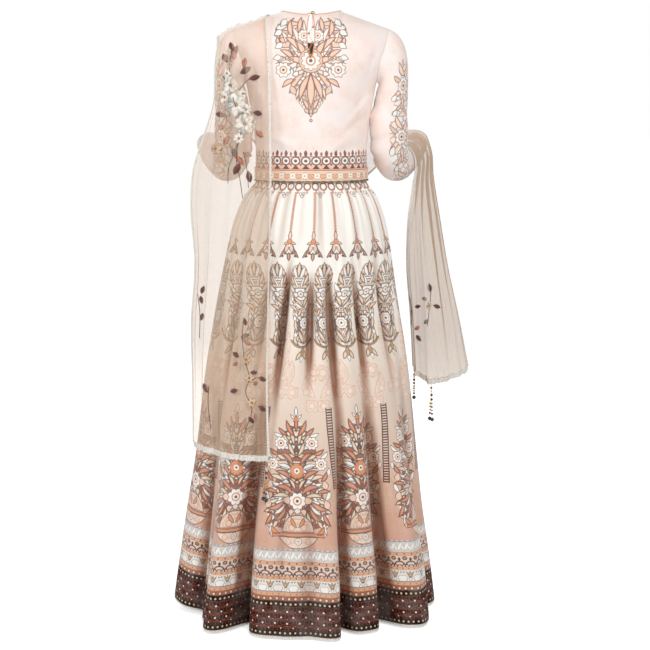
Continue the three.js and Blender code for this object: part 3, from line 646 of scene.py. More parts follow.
class Plane:
    """Flat coordinates in millimetres. Its shapes are distances: below 0 inside."""

    def __init__(self, x, y):
        self.tree = x.tree
        self.x = x
        self.y = y
        self.point = self.tree.add("ShaderNodeCombineXYZ", None, [x, y, 1.0])

    def along(self, x, y, angle, size=1.0):
        """Distance from (x, y) along a direction in degrees, in units of size."""
        c = math.cos(math.radians(angle)) / size
        s = math.sin(math.radians(angle)) / size
        vector = (c, s, -(x * c + y * s))
        settings = {"operation": "DOT_PRODUCT"}
        return self.tree.add("ShaderNodeVectorMath", settings, [self.point, vector], 1)

    def away(self, x, y):
        """Distance from the point (x, y)."""
        settings = {"operation": "DISTANCE"}
        return self.tree.add("ShaderNodeVectorMath", settings, [self.point, (x, y, 1.0)], 1)

    def disc(self, x, y, radius):
        return self.away(x, y) - radius

    def ring(self, x, y, radius, width):
        return abs(self.away(x, y) - radius) - width / 2

    def leaf(self, x, y, angle, length, width, bend=0.0):
        """A pointed leaf round (x, y): half width times one less the square of the way along.
        bend curves its middle line."""
        along = self.along(x, y, angle, length / 2)
        square = along * along
        across = self.along(x, y, angle + 90)
        if bend:
            across = square.times_plus(bend, across)
        return square.times_plus(width / 2, -width / 2) + abs(across)

    def drop(self, x, y, angle, length, width):
        """A petal: narrow at its start and round at its end."""
        along = self.along(x, y, angle, length / 2)
        across = abs(self.along(x, y, angle + 90))
        taper = along.times_plus(0.45, 1.0) & 0.1
        swell = taper * (along * along).times_plus(-width / 2, width / 2)
        return across - swell

    def flower(self, x, y, radius, petals, depth):
        """A round flower whose edge is a folded sine of the angle: round petals, sharp notches."""
        angle = self.along(x, y, 90).math("ARCTAN2", self.along(x, y, 0))
        wave = abs((angle * (petals / 2)).math("SINE"))
        return self.away(x, y) - wave.times_plus(radius * depth * 2, radius * (1 - depth))

    def bar(self, x, y, angle, length, width):
        """A straight bar round (x, y)."""
        ends = abs(self.along(x, y, angle)) - length / 2
        return ends & (abs(self.along(x, y, angle + 90)) - width / 2)


def union(shapes):
    """Distance to the nearest of some shapes."""
    return reduce(lambda a, b: a | b, shapes)


class Print:
    """A ground colour that shapes are painted on, later ones on top. For repeats it also holds
    the share of the way round, the millimetres down and the cloth's width."""

    def __init__(self, tree, ground, part=None, down=None, width=None):
        self.tree = tree
        self.colour = ground
        self.part = part
        self.down = down
        self.width = width

    def cell(self, count, shift=0.0):
        """Millimetres from the middle of a repeat. count repeats make up the whole width."""
        return ((self.part * count + shift).fract() - 0.5) * (self.width / count)

    def repeated(self, count):
        return Plane(self.cell(count), self.down)

    def mirrored(self, count, shift=0.0):
        """The plane of a repeat whose left half mirrors the right one."""
        return Plane(abs(self.cell(count, shift)), self.down)

    def cover(self, distance, soft=0.35):
        """1 inside a shape, 0 outside and a soft step at its edge."""
        return self.tree.ramp(distance, soft, -soft)

    def fill(self, shapes, colour, soft=0.35):
        cover = self.cover(union(shapes), soft)
        self.colour = self.tree.colour_mix(self.colour, colour, cover)
        return self

    def outline(self, shapes, colour, width):
        edge = union([abs(shape) for shape in shapes]) - width / 2
        self.colour = self.tree.colour_mix(self.colour, colour, self.cover(edge))
        return self

    def draw_cored(self, shapes, colour, core, outline, width=1.1, rim=1.8):
        """Draws shapes with a paler middle."""
        self.fill(shapes, colour).fill([union(shapes) + rim], core, 0.6)
        return self.outline(shapes, outline, width)

    def draw(self, shapes, colour, outline, width=1.1):
        """Fills shapes and outlines each of them."""
        return self.fill(shapes, colour).outline(shapes, outline, width)


# ---- Colours and parts of the prints ----

INK, SOFT_INK = rgb(96, 74, 74), rgb(142, 120, 118)
RUST, PALE_RUST, ORANGE = rgb(182, 106, 72), rgb(214, 160, 134), rgb(222, 150, 106)
PEACH, BEIGE, GOLDEN = rgb(240, 204, 182), rgb(224, 200, 174), rgb(190, 152, 112)
SLATE = rgb(140, 122, 126)
WHITE, SILVER = rgb(246, 243, 237), rgb(214, 208, 204)
BROWN, DARK, BLACK = rgb(112, 62, 46), rgb(62, 34, 30), rgb(26, 18, 20)


def band(value, low, high):
    """Distance to a band between two heights."""
    return abs(value - (low + high) / 2) - (high - low) / 2


def every(value, pitch, shift=0.0):
    """Millimetres from the nearest of evenly spaced rows."""
    return ((value / pitch + shift).fract() - 0.5) * pitch


def leaves(plane, table):
    return [plane.leaf(*row) for row in table]


def drops(plane, table):
    return [plane.drop(*row) for row in table]


def round_flowers(paint, plane, places, petals=8):
    """White flowers at (x, y, radius): outlined petals, an orange ring and a dark middle."""
    paint.draw([plane.flower(x, y, r, petals, 0.13) for x, y, r in places], WHITE, INK, 1.3)
    paint.fill([plane.ring(x, y, r * 0.5, r * 0.18) for x, y, r in places], ORANGE)
    paint.fill([plane.disc(x, y, r * 0.2) for x, y, r in places], INK)


CELL_REACH = 55.0  # millimetres from a mosaic's foot, where its cells have their stated width
LINE_FROM, LINE_FULL = 0.13, 0.05  # where a cell's edge line begins and is full, in cells
SHADE_SHARE = 0.92  # of a step of the ramp that keeps one shade


def cell_pattern(tree, place, output=0, feature="F1"):
    """Irregular cells a unit wide: the distance to a middle or an edge, or a colour a cell."""
    settings = {"voronoi_dimensions": "2D", "feature": feature}
    inputs = {"Vector": place, "Scale": 1.0}
    return tree.add("ShaderNodeTexVoronoi", settings, inputs, output)


def mosaic(paint, plane, area, shades, foot, wide, tall, line=INK):
    """Fills an area with small leaf-shaped cells that spread upwards from a foot below them, in
    shades picked at random for each cell, with dark lines between."""
    tree = paint.tree
    angle = plane.x.math("ARCTAN2", foot - plane.y)
    parts = [angle * (CELL_REACH / wide), plane.away(0, foot) / tall]
    place = tree.add("ShaderNodeCombineXYZ", None, parts)
    pick = tree.split(cell_pattern(tree, place, 1))[0]
    edges = cell_pattern(tree, place, 0, "DISTANCE_TO_EDGE")
    count = len(shades)
    stops = []
    for n, shade in enumerate(shades):
        stops += [(n / count, shade), ((n + SHADE_SHARE) / count, shade)]
    tone = tree.add("ShaderNodeValToRGB", {"stops": stops}, [pick])
    tone = tree.colour_mix(tone, line, tree.ramp(edges, LINE_FROM, LINE_FULL))
    paint.colour = tree.colour_mix(paint.colour, tone, paint.cover(area, 1.0))


def curls(plane, pitch):
    """Thin wandering lines and small rings, as distances in millimetres."""
    tree = plane.tree
    place = tree.add("ShaderNodeCombineXYZ", None, [plane.x / pitch, plane.y / pitch])
    edges = cell_pattern(tree, place, 0, "DISTANCE_TO_EDGE")
    rings = abs(cell_pattern(tree, place) - 0.24) - 0.05
    return ((edges - 0.045) | rings) * pitch


# Painted fold shade: darkens the colour where a point lies under the folds near it.
def paint_fold_shade(tree, colour):
    """Painted shade: a warmer, darker tone multiplied in at the bottom of the folds."""
    depth = tree.attribute("hollow")
    tone = tree.add("ShaderNodeMix", {"data_type": "RGBA", "blend_type": "MULTIPLY"},
                    {0: 1.0, 6: colour, 7: rgb(172, 136, 114)}, 2)
    return tree.colour_mix(colour, tone, tree.ramp(depth, 0.6, 11.0))


def cloth(tree, colour, roughness, sheen, gloss=0.35):
    """Woven cloth: fine threads as a bump, and a soft sheen."""
    place = tree.place()
    weave = tree.noise(place, 1100.0, 1.0)
    slub = tree.noise(place, 34.0, 3.0)
    tinted = tree.colour_mix(colour, rgb(255, 250, 244), tree.ramp(slub, 0.35, 0.75, 0.0, 0.1))
    bump = weave * 0.12 + slub * 0.5
    return tree.surface({"Base Color": tinted, "Roughness": roughness, "Sheen Weight": sheen,
                         "Sheen Roughness": 0.45, "Specular IOR Level": gloss}, bump)


# ---- Skirt prints ----

# How many bouquets over bowls and how many upper bouquets fill a half of the skirt, and how far
# each row is shifted, in repeats.
VASES, VASE_SHIFT = 5, 0.833
PANELS, PANEL_SHIFT = 10, 0.167

# Leaves of a bouquet: place, angle, length, width and bend. The right half; the left mirrors it.
CARTOUCHE_GOLD = [
    (0, 200, 90, 32, 9, 0), (17, 222, -62, 30, 8, 3), (8, 268, -50, 30, 8, -3),
    (22, 282, -38, 26, 8, -3), (11, 292, -120, 22, 7, 0), (23, 320, -82, 30, 8, 4),
    (9, 345, -62, 36, 9, 0), (22, 352, -70, 26, 8, 4), (7, 385, 62, 24, 9, 0)]
CARTOUCHE_PALE = [
    (9, 206, -72, 30, 8, 2), (8, 228, -66, 26, 7, 0), (22, 240, -48, 26, 8, 3),
    (10, 278, -44, 30, 6, -3), (16, 300, -52, 24, 7, 0), (14, 334, -40, 22, 6, 0),
    (3, 352, -78, 30, 7, 0), (16, 362, -40, 20, 6, 0), (0, 390, 90, 22, 8, 0)]
VASE_RUST = [
    (0, 534, 90, 36, 8, 0), (15, 546, -62, 40, 10, 3), (30, 553, -38, 26, 8, 2),
    (50, 598, -26, 26, 9, 3), (18, 608, -48, 38, 10, -4), (28, 643, -30, 40, 11, -5),
    (62, 650, -60, 26, 9, 3), (26, 674, -24, 46, 12, -8), (47, 716, 24, 44, 11, 5),
    (36, 734, 52, 40, 10, 4), (64, 742, 62, 34, 9, 3), (58, 680, -10, 30, 9, -3)]
VASE_GOLD = [
    (8, 562, -80, 40, 9, 0), (24, 566, -58, 30, 8, 3), (12, 590, -66, 36, 9, 3),
    (36, 606, -36, 30, 9, 3), (12, 620, -60, 26, 8, 0), (44, 650, -20, 34, 10, -4),
    (10, 664, -58, 30, 8, -3), (34, 690, -8, 46, 10, -7), (56, 704, 14, 30, 9, 4),
    (25, 742, 70, 34, 9, 3), (50, 750, 66, 32, 9, 3), (66, 722, 40, 26, 8, 3)]
VASE_PALE = [
    (0, 508, 90, 22, 7, 0), (7, 520, -48, 16, 5, 0), (40, 560, -18, 22, 8, 2),
    (62, 604, -44, 22, 8, 3), (26, 626, -18, 34, 8, -4), (12, 684, -40, 34, 8, -5),
    (44, 668, -32, 26, 8, -3), (38, 706, 10, 32, 8, 5), (40, 724, 38, 30, 8, 3),
    (60, 762, 80, 26, 10, 3), (70, 690, -70, 24, 10, 3), (70, 640, -70, 20, 9, 3)]


def skirt_ground(tree, down):
    """Ivory at the top, through cream, to a salmon tone at the foot."""
    stops = [(0.0, rgb(250, 246, 240)), (0.26, rgb(249, 242, 233)), (0.4, rgb(240, 225, 211)),
             (0.55, rgb(230, 206, 188)), (0.7, rgb(222, 186, 163)), (0.806, rgb(214, 168, 146)),
             (1.0, rgb(208, 158, 136))]
    return tree.add("ShaderNodeValToRGB", {"stops": stops}, [down / 1000.0])


def top_rows(paint):
    """A row of rings under the belt, pendants, beaded chains and flower tassels."""
    rings = paint.mirrored(20)
    paint.draw([rings.disc(0, 21.5, 7.2)], WHITE, RUST, 3.2)
    paint.outline([rings.disc(0, 21.5, 8.4)], INK, 1.0)
    paint.fill([rings.bar(0, 11, 0, 7, 6), rings.drop(0, 33, 90, 9, 5)], PALE_RUST)
    pendants = paint.mirrored(10)
    paint.draw([pendants.disc(4, 37, 3), pendants.disc(0, 42, 3.2)], WHITE, SOFT_INK, 1.4)
    tassel = paint.mirrored(PANELS, PANEL_SHIFT + 0.5)
    bead = Plane(tassel.x, every(paint.down, 6.4))
    chain = bead.disc(0, 0, 2.9) & band(paint.down, 34, 124)
    paint.fill([chain], PALE_RUST).outline([chain], RUST, 0.7)
    low_leaves = [(9, 160, 74, 28, 7, 2), (14, 165, 56, 24, 7, 2), (0, 172, 90, 18, 7, 0)]
    paint.draw(leaves(tassel, low_leaves), PALE_RUST, INK, 2.0)
    paint.draw([tassel.drop(5, 152, 80, 22, 8), tassel.leaf(0, 127, 90, 20, 7.5),
                tassel.leaf(8, 143, 20, 13, 5)], PEACH, INK, 1.5)
    paint.draw([tassel.disc(0, 139, 5.6)], ORANGE, RUST, 1.3)
    paint.fill([tassel.disc(0, 148, 2.2), tassel.disc(11, 168, 2.0)], WHITE)
    paint.fill([tassel.disc(5, 166, 1.8), tassel.disc(17, 170, 1.6)], INK)


def cartouches(paint):
    """Tall dense bouquets in slate, gold and white, each over a golden crescent."""
    plane = paint.mirrored(PANELS, PANEL_SHIFT)
    crown = plane.disc(0, 208, 19) | plane.disc(6, 222, 17) | plane.disc(4, 240, 21)
    body = crown | plane.disc(0, 264, 25) | plane.disc(2, 300, 26) | plane.disc(0, 334, 25)
    body = body & (plane.y - 362.0)
    shades = [WHITE, BEIGE, rgb(242, 226, 210), SLATE, WHITE, PEACH]
    mosaic(paint, plane, body, shades, 372.0, 7.5, 9.0)
    paint.outline([body], INK, 1.2)
    paint.draw(leaves(plane, CARTOUCHE_PALE), WHITE, SOFT_INK, 1.3)
    paint.draw_cored(leaves(plane, CARTOUCHE_GOLD), GOLDEN, rgb(238, 216, 192), INK, 1.3)
    petals = [(23, 262, 80, 13, 8), (24, 304, 86, 13, 8), (22, 340, 96, 12, 8)]
    paint.draw(drops(plane, petals), WHITE, INK, 1.3)
    arc = plane.ring(0, 330, 38, 3.6) & (352.0 - plane.y)
    paint.draw([arc, plane.leaf(0, 378, 90, 22, 9)], GOLDEN, INK, 1.2)
    paint.draw([plane.disc(0, 252, 7), plane.flower(0, 316, 13, 9, 0.06)], WHITE, INK, 1.5)
    paint.fill([plane.ring(0, 316, 7.5, 2.6), plane.ring(0, 252, 4.2, 1.4)], BEIGE)
    paint.fill([plane.disc(0, 316, 2.6), plane.disc(0, 252, 1.8)], INK)
    paint.fill([plane.disc(18, 288, 2.2), plane.disc(8, 300, 1.8)], ORANGE)


def scrolls(paint):
    """Fine rust outlines, kept to narrow stripes between the cartouches and to clusters of
    flowers under them."""
    between = paint.mirrored(PANELS, PANEL_SHIFT + 0.5)
    sides = between.leaf(0, 400, 90, 190, 19)
    clusters = paint.mirrored(VASES, PANEL_SHIFT)
    single = paint.mirrored(VASES, PANEL_SHIFT + 0.5)
    spots = clusters.flower(12, 424, 15, 5, 0.2) | clusters.leaf(24, 458, -62, 54, 20, 6)
    spots = spots | clusters.flower(13, 496, 13, 4, 0.2)
    spots = spots | single.leaf(5, 428, -80, 62, 20, 6) | single.flower(14, 466, 13, 5, 0.2)
    lines = curls(clusters, 8.0)
    faint = rgb(222, 176, 150)
    paint.fill([sides | spots], rgb(244, 228, 214), 2.0)
    paint.fill([lines & (sides | spots)], faint)
    paint.outline([spots], faint, 1.4)
    flowers = [clusters.flower(12, 424, 7.5, 6, 0.18), clusters.flower(25, 466, 6.5, 5, 0.2),
               clusters.flower(13, 496, 6, 5, 0.2), single.flower(14, 466, 6.5, 5, 0.2),
               between.flower(0, 436, 6, 5, 0.2)]
    paint.fill(flowers, rgb(244, 226, 210)).outline(flowers, faint, 1.3)


def vases(paint):
    """Big bouquets over a bowl, ladders between them and fine lace beside each bowl."""
    down = paint.down
    plane = paint.mirrored(VASES, VASE_SHIFT)
    edge = paint.width / (2.0 * VASES) - plane.x
    beside = Plane(edge, down)
    lace_area = beside.leaf(4, 740, 90, 160, 62) | beside.flower(18, 782, 15, 5, 0.2)
    lines = curls(beside, 9.0)
    paint.fill([lines & lace_area], PALE_RUST).outline([lace_area], PALE_RUST, 1.4)
    rail = abs(edge - 6.6) - 1.2
    rung = (abs(every(down, 5.9)) - 1.5) & (edge - 6.6)
    paint.fill([(rail | rung) & band(down, 500, 678)], rgb(92, 60, 54))
    body = plane.leaf(0, 616, 90, 190, 92) | plane.disc(0, 690, 58) | plane.disc(28, 722, 42)
    body = (body & (down - 764.0)) | plane.leaf(60, 750, 90, 60, 20)
    shades = [rgb(240, 222, 206), RUST, WHITE, rgb(148, 92, 72), rgb(232, 204, 184), PALE_RUST,
              BEIGE, rgb(166, 108, 84)]
    mosaic(paint, plane, body, shades, 790.0, 7.5, 10.0)
    paint.draw(leaves(plane, VASE_PALE), WHITE, INK, 1.3)
    paint.draw_cored(leaves(plane, VASE_GOLD), GOLDEN, rgb(236, 214, 190), INK, 1.6)
    paint.draw_cored(leaves(plane, VASE_RUST), RUST, rgb(216, 152, 120), INK, 1.6, 2.3)
    bells = [(62, 666, 70, 20, 13), (66, 708, 70, 22, 14), (58, 772, 82, 18, 11),
             (20, 702, 0, 26, 15)]
    paint.draw(drops(plane, bells), PEACH, INK, 1.4)
    dome = plane.disc(0, 768, 35) & (down - 770.0)
    bowl = plane.disc(0, 755, 51) & (781.0 - down)
    paint.draw([dome, bowl], rgb(240, 226, 210), INK, 1.8)
    paint.fill([lines & (dome | bowl)], PALE_RUST)
    paint.outline([plane.disc(0, 768, 27) & (down - 768.0), plane.ring(14, 760, 7, 1.0),
                   plane.disc(22, 791, 6)], PALE_RUST, 1.6)
    paint.draw([plane.bar(0, 776, 0, 118, 7), plane.leaf(54, 768, -46, 26, 9, 3),
                plane.leaf(0, 809, 0, 34, 8), plane.leaf(10, 750, -60, 24, 8, 2)],
               ORANGE, INK, 1.4)
    round_flowers(paint, plane, [(34, 577, 13), (54, 622, 12), (0, 702, 17), (0, 790, 7)])
    paint.draw([plane.flower(0, 637, 15, 12, 0.12), plane.disc(0, 524, 5)], ORANGE, RUST, 1.4)
    paint.fill([plane.disc(0, 637, 6)], WHITE).fill([plane.disc(0, 637, 2.6)], INK)


def skirt_print():
    """Rings and tassels under the belt, then scrollwork, bouquets, and bouquets over bowls."""
    tree = Tree("skirt_print")
    part, down, width = tree.split(tree.attribute("print"))
    paint = Print(tree, skirt_ground(tree, down), part, down, width)
    for rows in (top_rows, scrolls, cartouches, vases):
        rows(paint)
    # The print with painted shade in the folds.
    return cloth(tree, paint_fold_shade(tree, paint.colour), 0.48, 0.3)


def dotted_line(paint, middle, count, radius=1.7):
    """An orange line with dark dots on it."""
    line = band(paint.down, middle - 3.4, middle + 3.4)
    paint.fill([line], rgb(226, 172, 132)).outline([line], RUST, 0.9)
    paint.fill([paint.repeated(count).disc(0, middle, radius)], BLACK)


def border_print():
    """Rows over the hem: a silver leaf band, dark lace, gold sprigs on white and beads."""
    tree = Tree("border_print")
    part, down, width = tree.split(tree.attribute("print"))
    paint = Print(tree, rgb(232, 208, 192), part, down, width)
    leaf = paint.repeated(72)
    paint.fill([band(down, 808, 834)], SILVER, 1.5)
    paint.draw([leaf.leaf(-3, 821, 62, 21, 7), leaf.leaf(5, 824, 118, 15, 5)], WHITE,
               rgb(186, 178, 176), 0.9)
    edge = paint.repeated(90)
    paint.outline([edge.disc(0, 812, 6.5) & (down - 810.0)], SOFT_INK, 1.3)
    dotted_line(paint, 837.5, 66)
    paint.fill([band(down, 842, 867)], rgb(226, 204, 190))
    arch = paint.mirrored(44)
    paint.fill([arch.ring(0, 867, 13, 2.8) & (842.0 - down), arch.ring(0, 867, 5.5, 2.4),
                arch.disc(11.4, 847, 4.2), arch.leaf(0, 849, 90, 9, 6),
                arch.leaf(8.5, 861, -50, 9, 3)], rgb(92, 56, 48))
    paint.fill([arch.disc(11.4, 847, 1.6), arch.disc(0, 862, 1.8)], ORANGE)
    dotted_line(paint, 870, 88, 1.2)
    paint.fill([band(down, 873.5, 901)], rgb(232, 228, 222))
    sprig = paint.mirrored(33)
    paint.draw([sprig.leaf(3.8, 883, -64, 16, 4.2, -2), sprig.leaf(0, 879, 90, 8, 3)], GOLDEN,
               rgb(120, 92, 60), 0.8)
    paint.draw([sprig.disc(14.4, 892, 7), sprig.disc(6, 896, 3.4)], WHITE,
               rgb(176, 168, 164), 1.1)
    paint.fill([sprig.disc(14.4, 878, 1.6), sprig.disc(0, 889, 1.6)], BROWN)
    paint.fill([abs(down - 899.0) - 1.0], SOFT_INK)
    dotted_line(paint, 904.5, 88, 1.2)
    paint.fill([band(down, 908.5, 921)], rgb(168, 96, 68))
    beads = paint.repeated(84)
    paint.draw([beads.disc(0, 914.5, 3.4)], rgb(236, 214, 180), DARK, 1.2)
    paint.fill([abs(down - 919.4) - 0.9], BLACK)
    # The print with painted shade in the folds.
    return cloth(tree, paint_fold_shade(tree, paint.colour), 0.48, 0.3)


def band_print():
    """The dark band: a lattice of brown arcs, two black lines with gold dots and rows of white
    dots in zigzag."""
    tree = Tree("hem_band_print")
    part, down, width = tree.split(tree.attribute("print"))
    paint = Print(tree, rgb(50, 25, 22), part, down, width)
    arcs = Plane(abs(paint.cell(70)), every(down, 15.2, 0.1))
    paint.fill([arcs.ring(0, 2, 5.2, 1.5), arcs.ring(7, -5, 3.4, 1.3),
                arcs.leaf(0, -3, 90, 8, 3)], rgb(122, 64, 46))
    paint.fill([arcs.disc(7, -5, 1.2)], RUST)
    paint.fill([band(down, 921, 931), band(down, 984, 994)], BLACK)
    edge = paint.repeated(108)
    dots = [edge.disc(0, 926, 2.3), edge.disc(0, 989, 2.2)]
    one, two = paint.repeated(44), Plane(paint.cell(44, 0.5), down)
    white = [one.disc(0, 942, 2.0), two.disc(0, 955, 1.9), one.disc(0, 968, 2.0),
             two.disc(0, 978, 1.3)]
    paint.fill(dots, rgb(232, 198, 156)).fill(white, rgb(244, 242, 240))
    # The print with painted shade in the folds.
    return cloth(tree, paint_fold_shade(tree, paint.colour), 0.85, 0.0, 0.1)


# ---- Blouse, belt and trims ----

BODICE_PEACH = [
    (0, 196, 90, 74, 17, 0), (17, 204, 112, 62, 13, -5), (33, 216, 128, 50, 12, -5),
    (50, 214, 150, 34, 11, -4), (20, 286, 62, 44, 13, 5), (38, 300, 44, 40, 12, 5),
    (30, 262, 20, 42, 13, 4), (50, 276, 36, 36, 11, 4), (46, 330, 84, 38, 11, -4),
    (24, 338, 100, 34, 10, 0), (10, 166, 64, 28, 9, 3), (72, 300, 80, 26, 9, 0)]
BODICE_GREY = [
    (8, 222, 104, 42, 9, 0), (26, 196, 118, 40, 8, -4), (40, 200, 138, 26, 7, -3),
    (22, 244, 160, 30, 9, -3), (24, 272, 38, 34, 9, 3), (34, 284, 58, 32, 8, 4),
    (54, 258, 4, 24, 8, 3), (32, 318, 70, 36, 9, 4), (56, 312, 70, 28, 8, 4), (8, 186, 78, 30, 7, 2),
    (14, 330, 84, 36, 7, 0), (5, 152, 60, 18, 6, 0)]


def blouse_ground(tree, place):
    """Blush pink with faint peach scrollwork: contour lines of a soft noise."""
    wave = tree.noise(place, 24.0, 2.0)
    swirl = tree.noise(place, 46.0, 1.0, 0.2)
    lines = tree.ramp(abs((swirl * 9.0).fract() - 0.5), 0.1, 0.03)
    tint = tree.colour_mix(rgb(252, 239, 234), rgb(250, 229, 219), tree.ramp(wave, 0.4, 0.7))
    return tree.colour_mix(tint, rgb(242, 200, 178),
                           lines * tree.ramp(wave, 0.42, 0.6, 0.0, 0.45))


def bodice_bouquet(paint, plane):
    """The back's bouquet, mirrored about the middle: leaves and bells round a large flower."""
    heart = plane.disc(0, 262, 46) | plane.disc(44, 318, 36) | plane.leaf(0, 214, 90, 150, 86)
    heart = heart | plane.leaf(22, 300, 60, 110, 60) | plane.disc(56, 250, 22)
    upside = Plane(plane.x, plane.y * -1.0)
    mosaic(paint, upside, heart, [WHITE, rgb(252, 234, 222), PEACH, rgb(250, 224, 206)], -128.0,
           7.0, 10.0, SOFT_INK)
    paint.draw_cored(leaves(plane, BODICE_GREY), PEACH, rgb(252, 236, 224), SOFT_INK, 1.6)
    paint.draw_cored(leaves(plane, BODICE_PEACH), PALE_RUST, rgb(246, 208, 184), INK, 1.4, 2.2)
    bells = [(60, 342, 130, 20, 13), (72, 320, 150, 20, 13), (70, 292, 150, 20, 13),
             (74, 266, 165, 18, 12)]
    paint.draw(drops(plane, bells), WHITE, INK, 1.5)
    ovals = [plane.leaf(39, 196, 60, 22, 13), plane.drop(0, 146, 90, 18, 10),
             plane.drop(8, 150, 40, 16, 8), plane.disc(0, 130, 3)]
    paint.draw(ovals, PEACH, INK, 1.5)
    round_flowers(paint, plane, [(60, 240, 15), (15, 314, 12)])
    paint.draw([plane.disc(0, 260, 26)], rgb(240, 196, 168), SOFT_INK, 1.6)
    round_flowers(paint, plane, [(0, 260, 19)], 10)


def blouse_border(paint, place_round, height):
    """Rings in a row over a line of triangles, with leaves above them."""
    cells = Plane(abs(every(place_round, 20.8)), height)
    paint.fill([band(height, 21, 50)], rgb(240, 204, 184))
    paint.draw([cells.disc(0, 41, 8.6)], WHITE, rgb(116, 70, 68), 2.6)
    paint.fill([cells.disc(0, 41, 3.4), cells.leaf(0, 57, 90, 16, 7)], rgb(134, 86, 76))
    paint.fill([cells.leaf(10.4, 56, 90, 10, 5), cells.disc(10.4, 33, 2.6)], rgb(164, 108, 88))
    triangle = (cells.along(0, 24, 90) + abs(cells.x) * 1.3 - 9.0) & (23.0 - height)
    paint.fill([triangle], rgb(116, 70, 68))
    paint.fill([abs(height - 22.0) - 1.3, abs(height - 50.5) - 0.7], rgb(150, 96, 84))


# The ellipse, in metres, whose angle places the blouse's border, and its middle radius, in
# millimetres.
ROUND_WIDE, ROUND_DEEP, ROUND_RADIUS = 0.126, 0.1, 113.0
# The sleeve's girth, and the share of it from the outer side to the garland, backwards.
SLEEVE_GIRTH, GARLAND_AT = 250.0, 0.36


def blouse_print():
    """The bouquet on the back only, and the border all round, by the angle round the waist."""
    tree = Tree("blouse_print")
    place = tree.place()
    x, y, z = tree.split(place)
    paint = Print(tree, blouse_ground(tree, place))
    plane = Plane(abs(x) * 1000.0, z * 1000.0)
    behind = tree.ramp(y, 0.0, 0.004)
    whole = paint.colour
    bodice_bouquet(paint, plane)
    paint.colour = tree.colour_mix(whole, paint.colour, behind)
    place_round = (x / ROUND_WIDE).math("ARCTAN2", y / ROUND_DEEP) * ROUND_RADIUS
    blouse_border(paint, place_round, z * 1000.0)
    return cloth(tree, paint.colour, 0.6, 0.4)


def sleeve_print():
    """A garland down the outer back of the sleeve: flowers, bells and leaves in turn."""
    tree = Tree("sleeve_print")
    part, down = tree.split(tree.attribute("print"))[:2]
    paint = Print(tree, blouse_ground(tree, tree.place()))
    plane = Plane(((part + GARLAND_AT).fract() - 0.5) * SLEEVE_GIRTH, down)
    vine = plane.leaf(0, 205, 90, 330, 54)
    mosaic(paint, plane, vine, [WHITE, rgb(252, 238, 230), WHITE, rgb(250, 226, 212)], 420.0,
           4.0, 11.0, rgb(188, 168, 162))
    for start in (52, 158, 264):
        paint.draw_cored(leaves(plane, [
            (8, start + 12, -60, 34, 10, 4), (-10, start + 22, -120, 34, 10, -4),
            (14, start + 52, 40, 30, 9, 3), (-14, start + 56, 140, 30, 9, -3),
            (0, start + 74, 90, 34, 9, 0)]), PALE_RUST, rgb(250, 222, 204), SOFT_INK, 1.4, 1.6)
        paint.draw(leaves(plane, [
            (18, start + 26, -40, 28, 8, 3), (-20, start + 38, -150, 26, 8, -3),
            (8, start + 84, 50, 26, 7, 2), (-9, start + 90, 130, 26, 7, -2)]),
            rgb(232, 196, 172), SOFT_INK, 1.6)
        bells = [(22, start + 62, 60, 18, 12), (-22, start + 70, 120, 18, 12),
                 (16, start + 96, 70, 16, 10)]
        paint.draw(drops(plane, bells), WHITE, INK, 1.4)
        round_flowers(paint, plane, [(0, start + 40, 14)])
    return cloth(tree, paint.colour, 0.6, 0.4)


def belt_print():
    """White flowers and orange scroll leaves on cream, between two thin orange lines."""
    tree = Tree("belt_print")
    turn, height = tree.split(tree.attribute("print"))[:2]
    paint = Print(tree, rgb(246, 226, 202))
    cells = Plane(abs(every(turn, 24.0)), height)
    paint.fill(leaves(cells, [(8, 11, 35, 10, 4, 2), (9, 4, -40, 10, 4, -2)]), ORANGE)
    paint.fill([cells.disc(12, 8, 1.8)], rgb(206, 110, 70))
    paint.draw([cells.flower(0, 8, 6.0, 6, 0.14)], WHITE, PALE_RUST, 0.9)
    paint.fill([cells.disc(0, 8, 1.7)], GOLDEN)
    paint.fill([abs(height - 16.2) - 0.6, abs(height - 0.4) - 0.6], PALE_RUST)
    return cloth(tree, paint.colour, 0.5, 0.2)


def satin_cloth():
    """Peach satin with a fine weave."""
    tree = Tree("satin_piping")
    weave = tree.noise(tree.place(), 420.0, 2.0)
    tint = tree.colour_mix(rgb(226, 158, 124), rgb(240, 188, 156), weave)
    return tree.surface({"Base Color": tint, "Roughness": 0.4, "Sheen Weight": 0.4}, weave * 0.1)


def lace_cloth():
    """Off-white thread: lumps the size of stitches."""
    tree = Tree("white_lace")
    lump = tree.add("ShaderNodeTexVoronoi", None, {"Vector": tree.place(), "Scale": 520.0})
    tint = tree.colour_mix(rgb(246, 243, 236), rgb(206, 196, 182), tree.ramp(lump, 0.35, 0.8))
    return tree.surface({"Base Color": tint, "Roughness": 0.8, "Sheen Weight": 0.2},
                        lump * -0.7)


def metal_cloth():
    """Grey-green and gold metal thread."""
    tree = Tree("metal_thread")
    glint = tree.noise(tree.place(), 260.0, 2.0)
    tint = tree.colour_mix(rgb(92, 94, 84), rgb(196, 178, 132), tree.ramp(glint, 0.42, 0.62))
    return tree.surface({"Base Color": tint, "Roughness": 0.35, "Metallic": 0.6}, glint * 0.3)


def bead_paint(name, colour, roughness=0.12, metallic=0.0):
    """Glass or brass with a clear coat and a few paler specks."""
    tree = Tree("bead_" + name)
    speck = tree.noise(tree.place(), 150.0, 2.0)
    tint = tree.colour_mix(colour, rgb(250, 240, 225), tree.ramp(speck, 0.5, 0.9, 0.0, 0.25))
    return tree.surface({"Base Color": tint, "Roughness": roughness, "Metallic": metallic,
                         "Coat Weight": 0.5, "Coat Roughness": 0.1}, speck * 0.02)


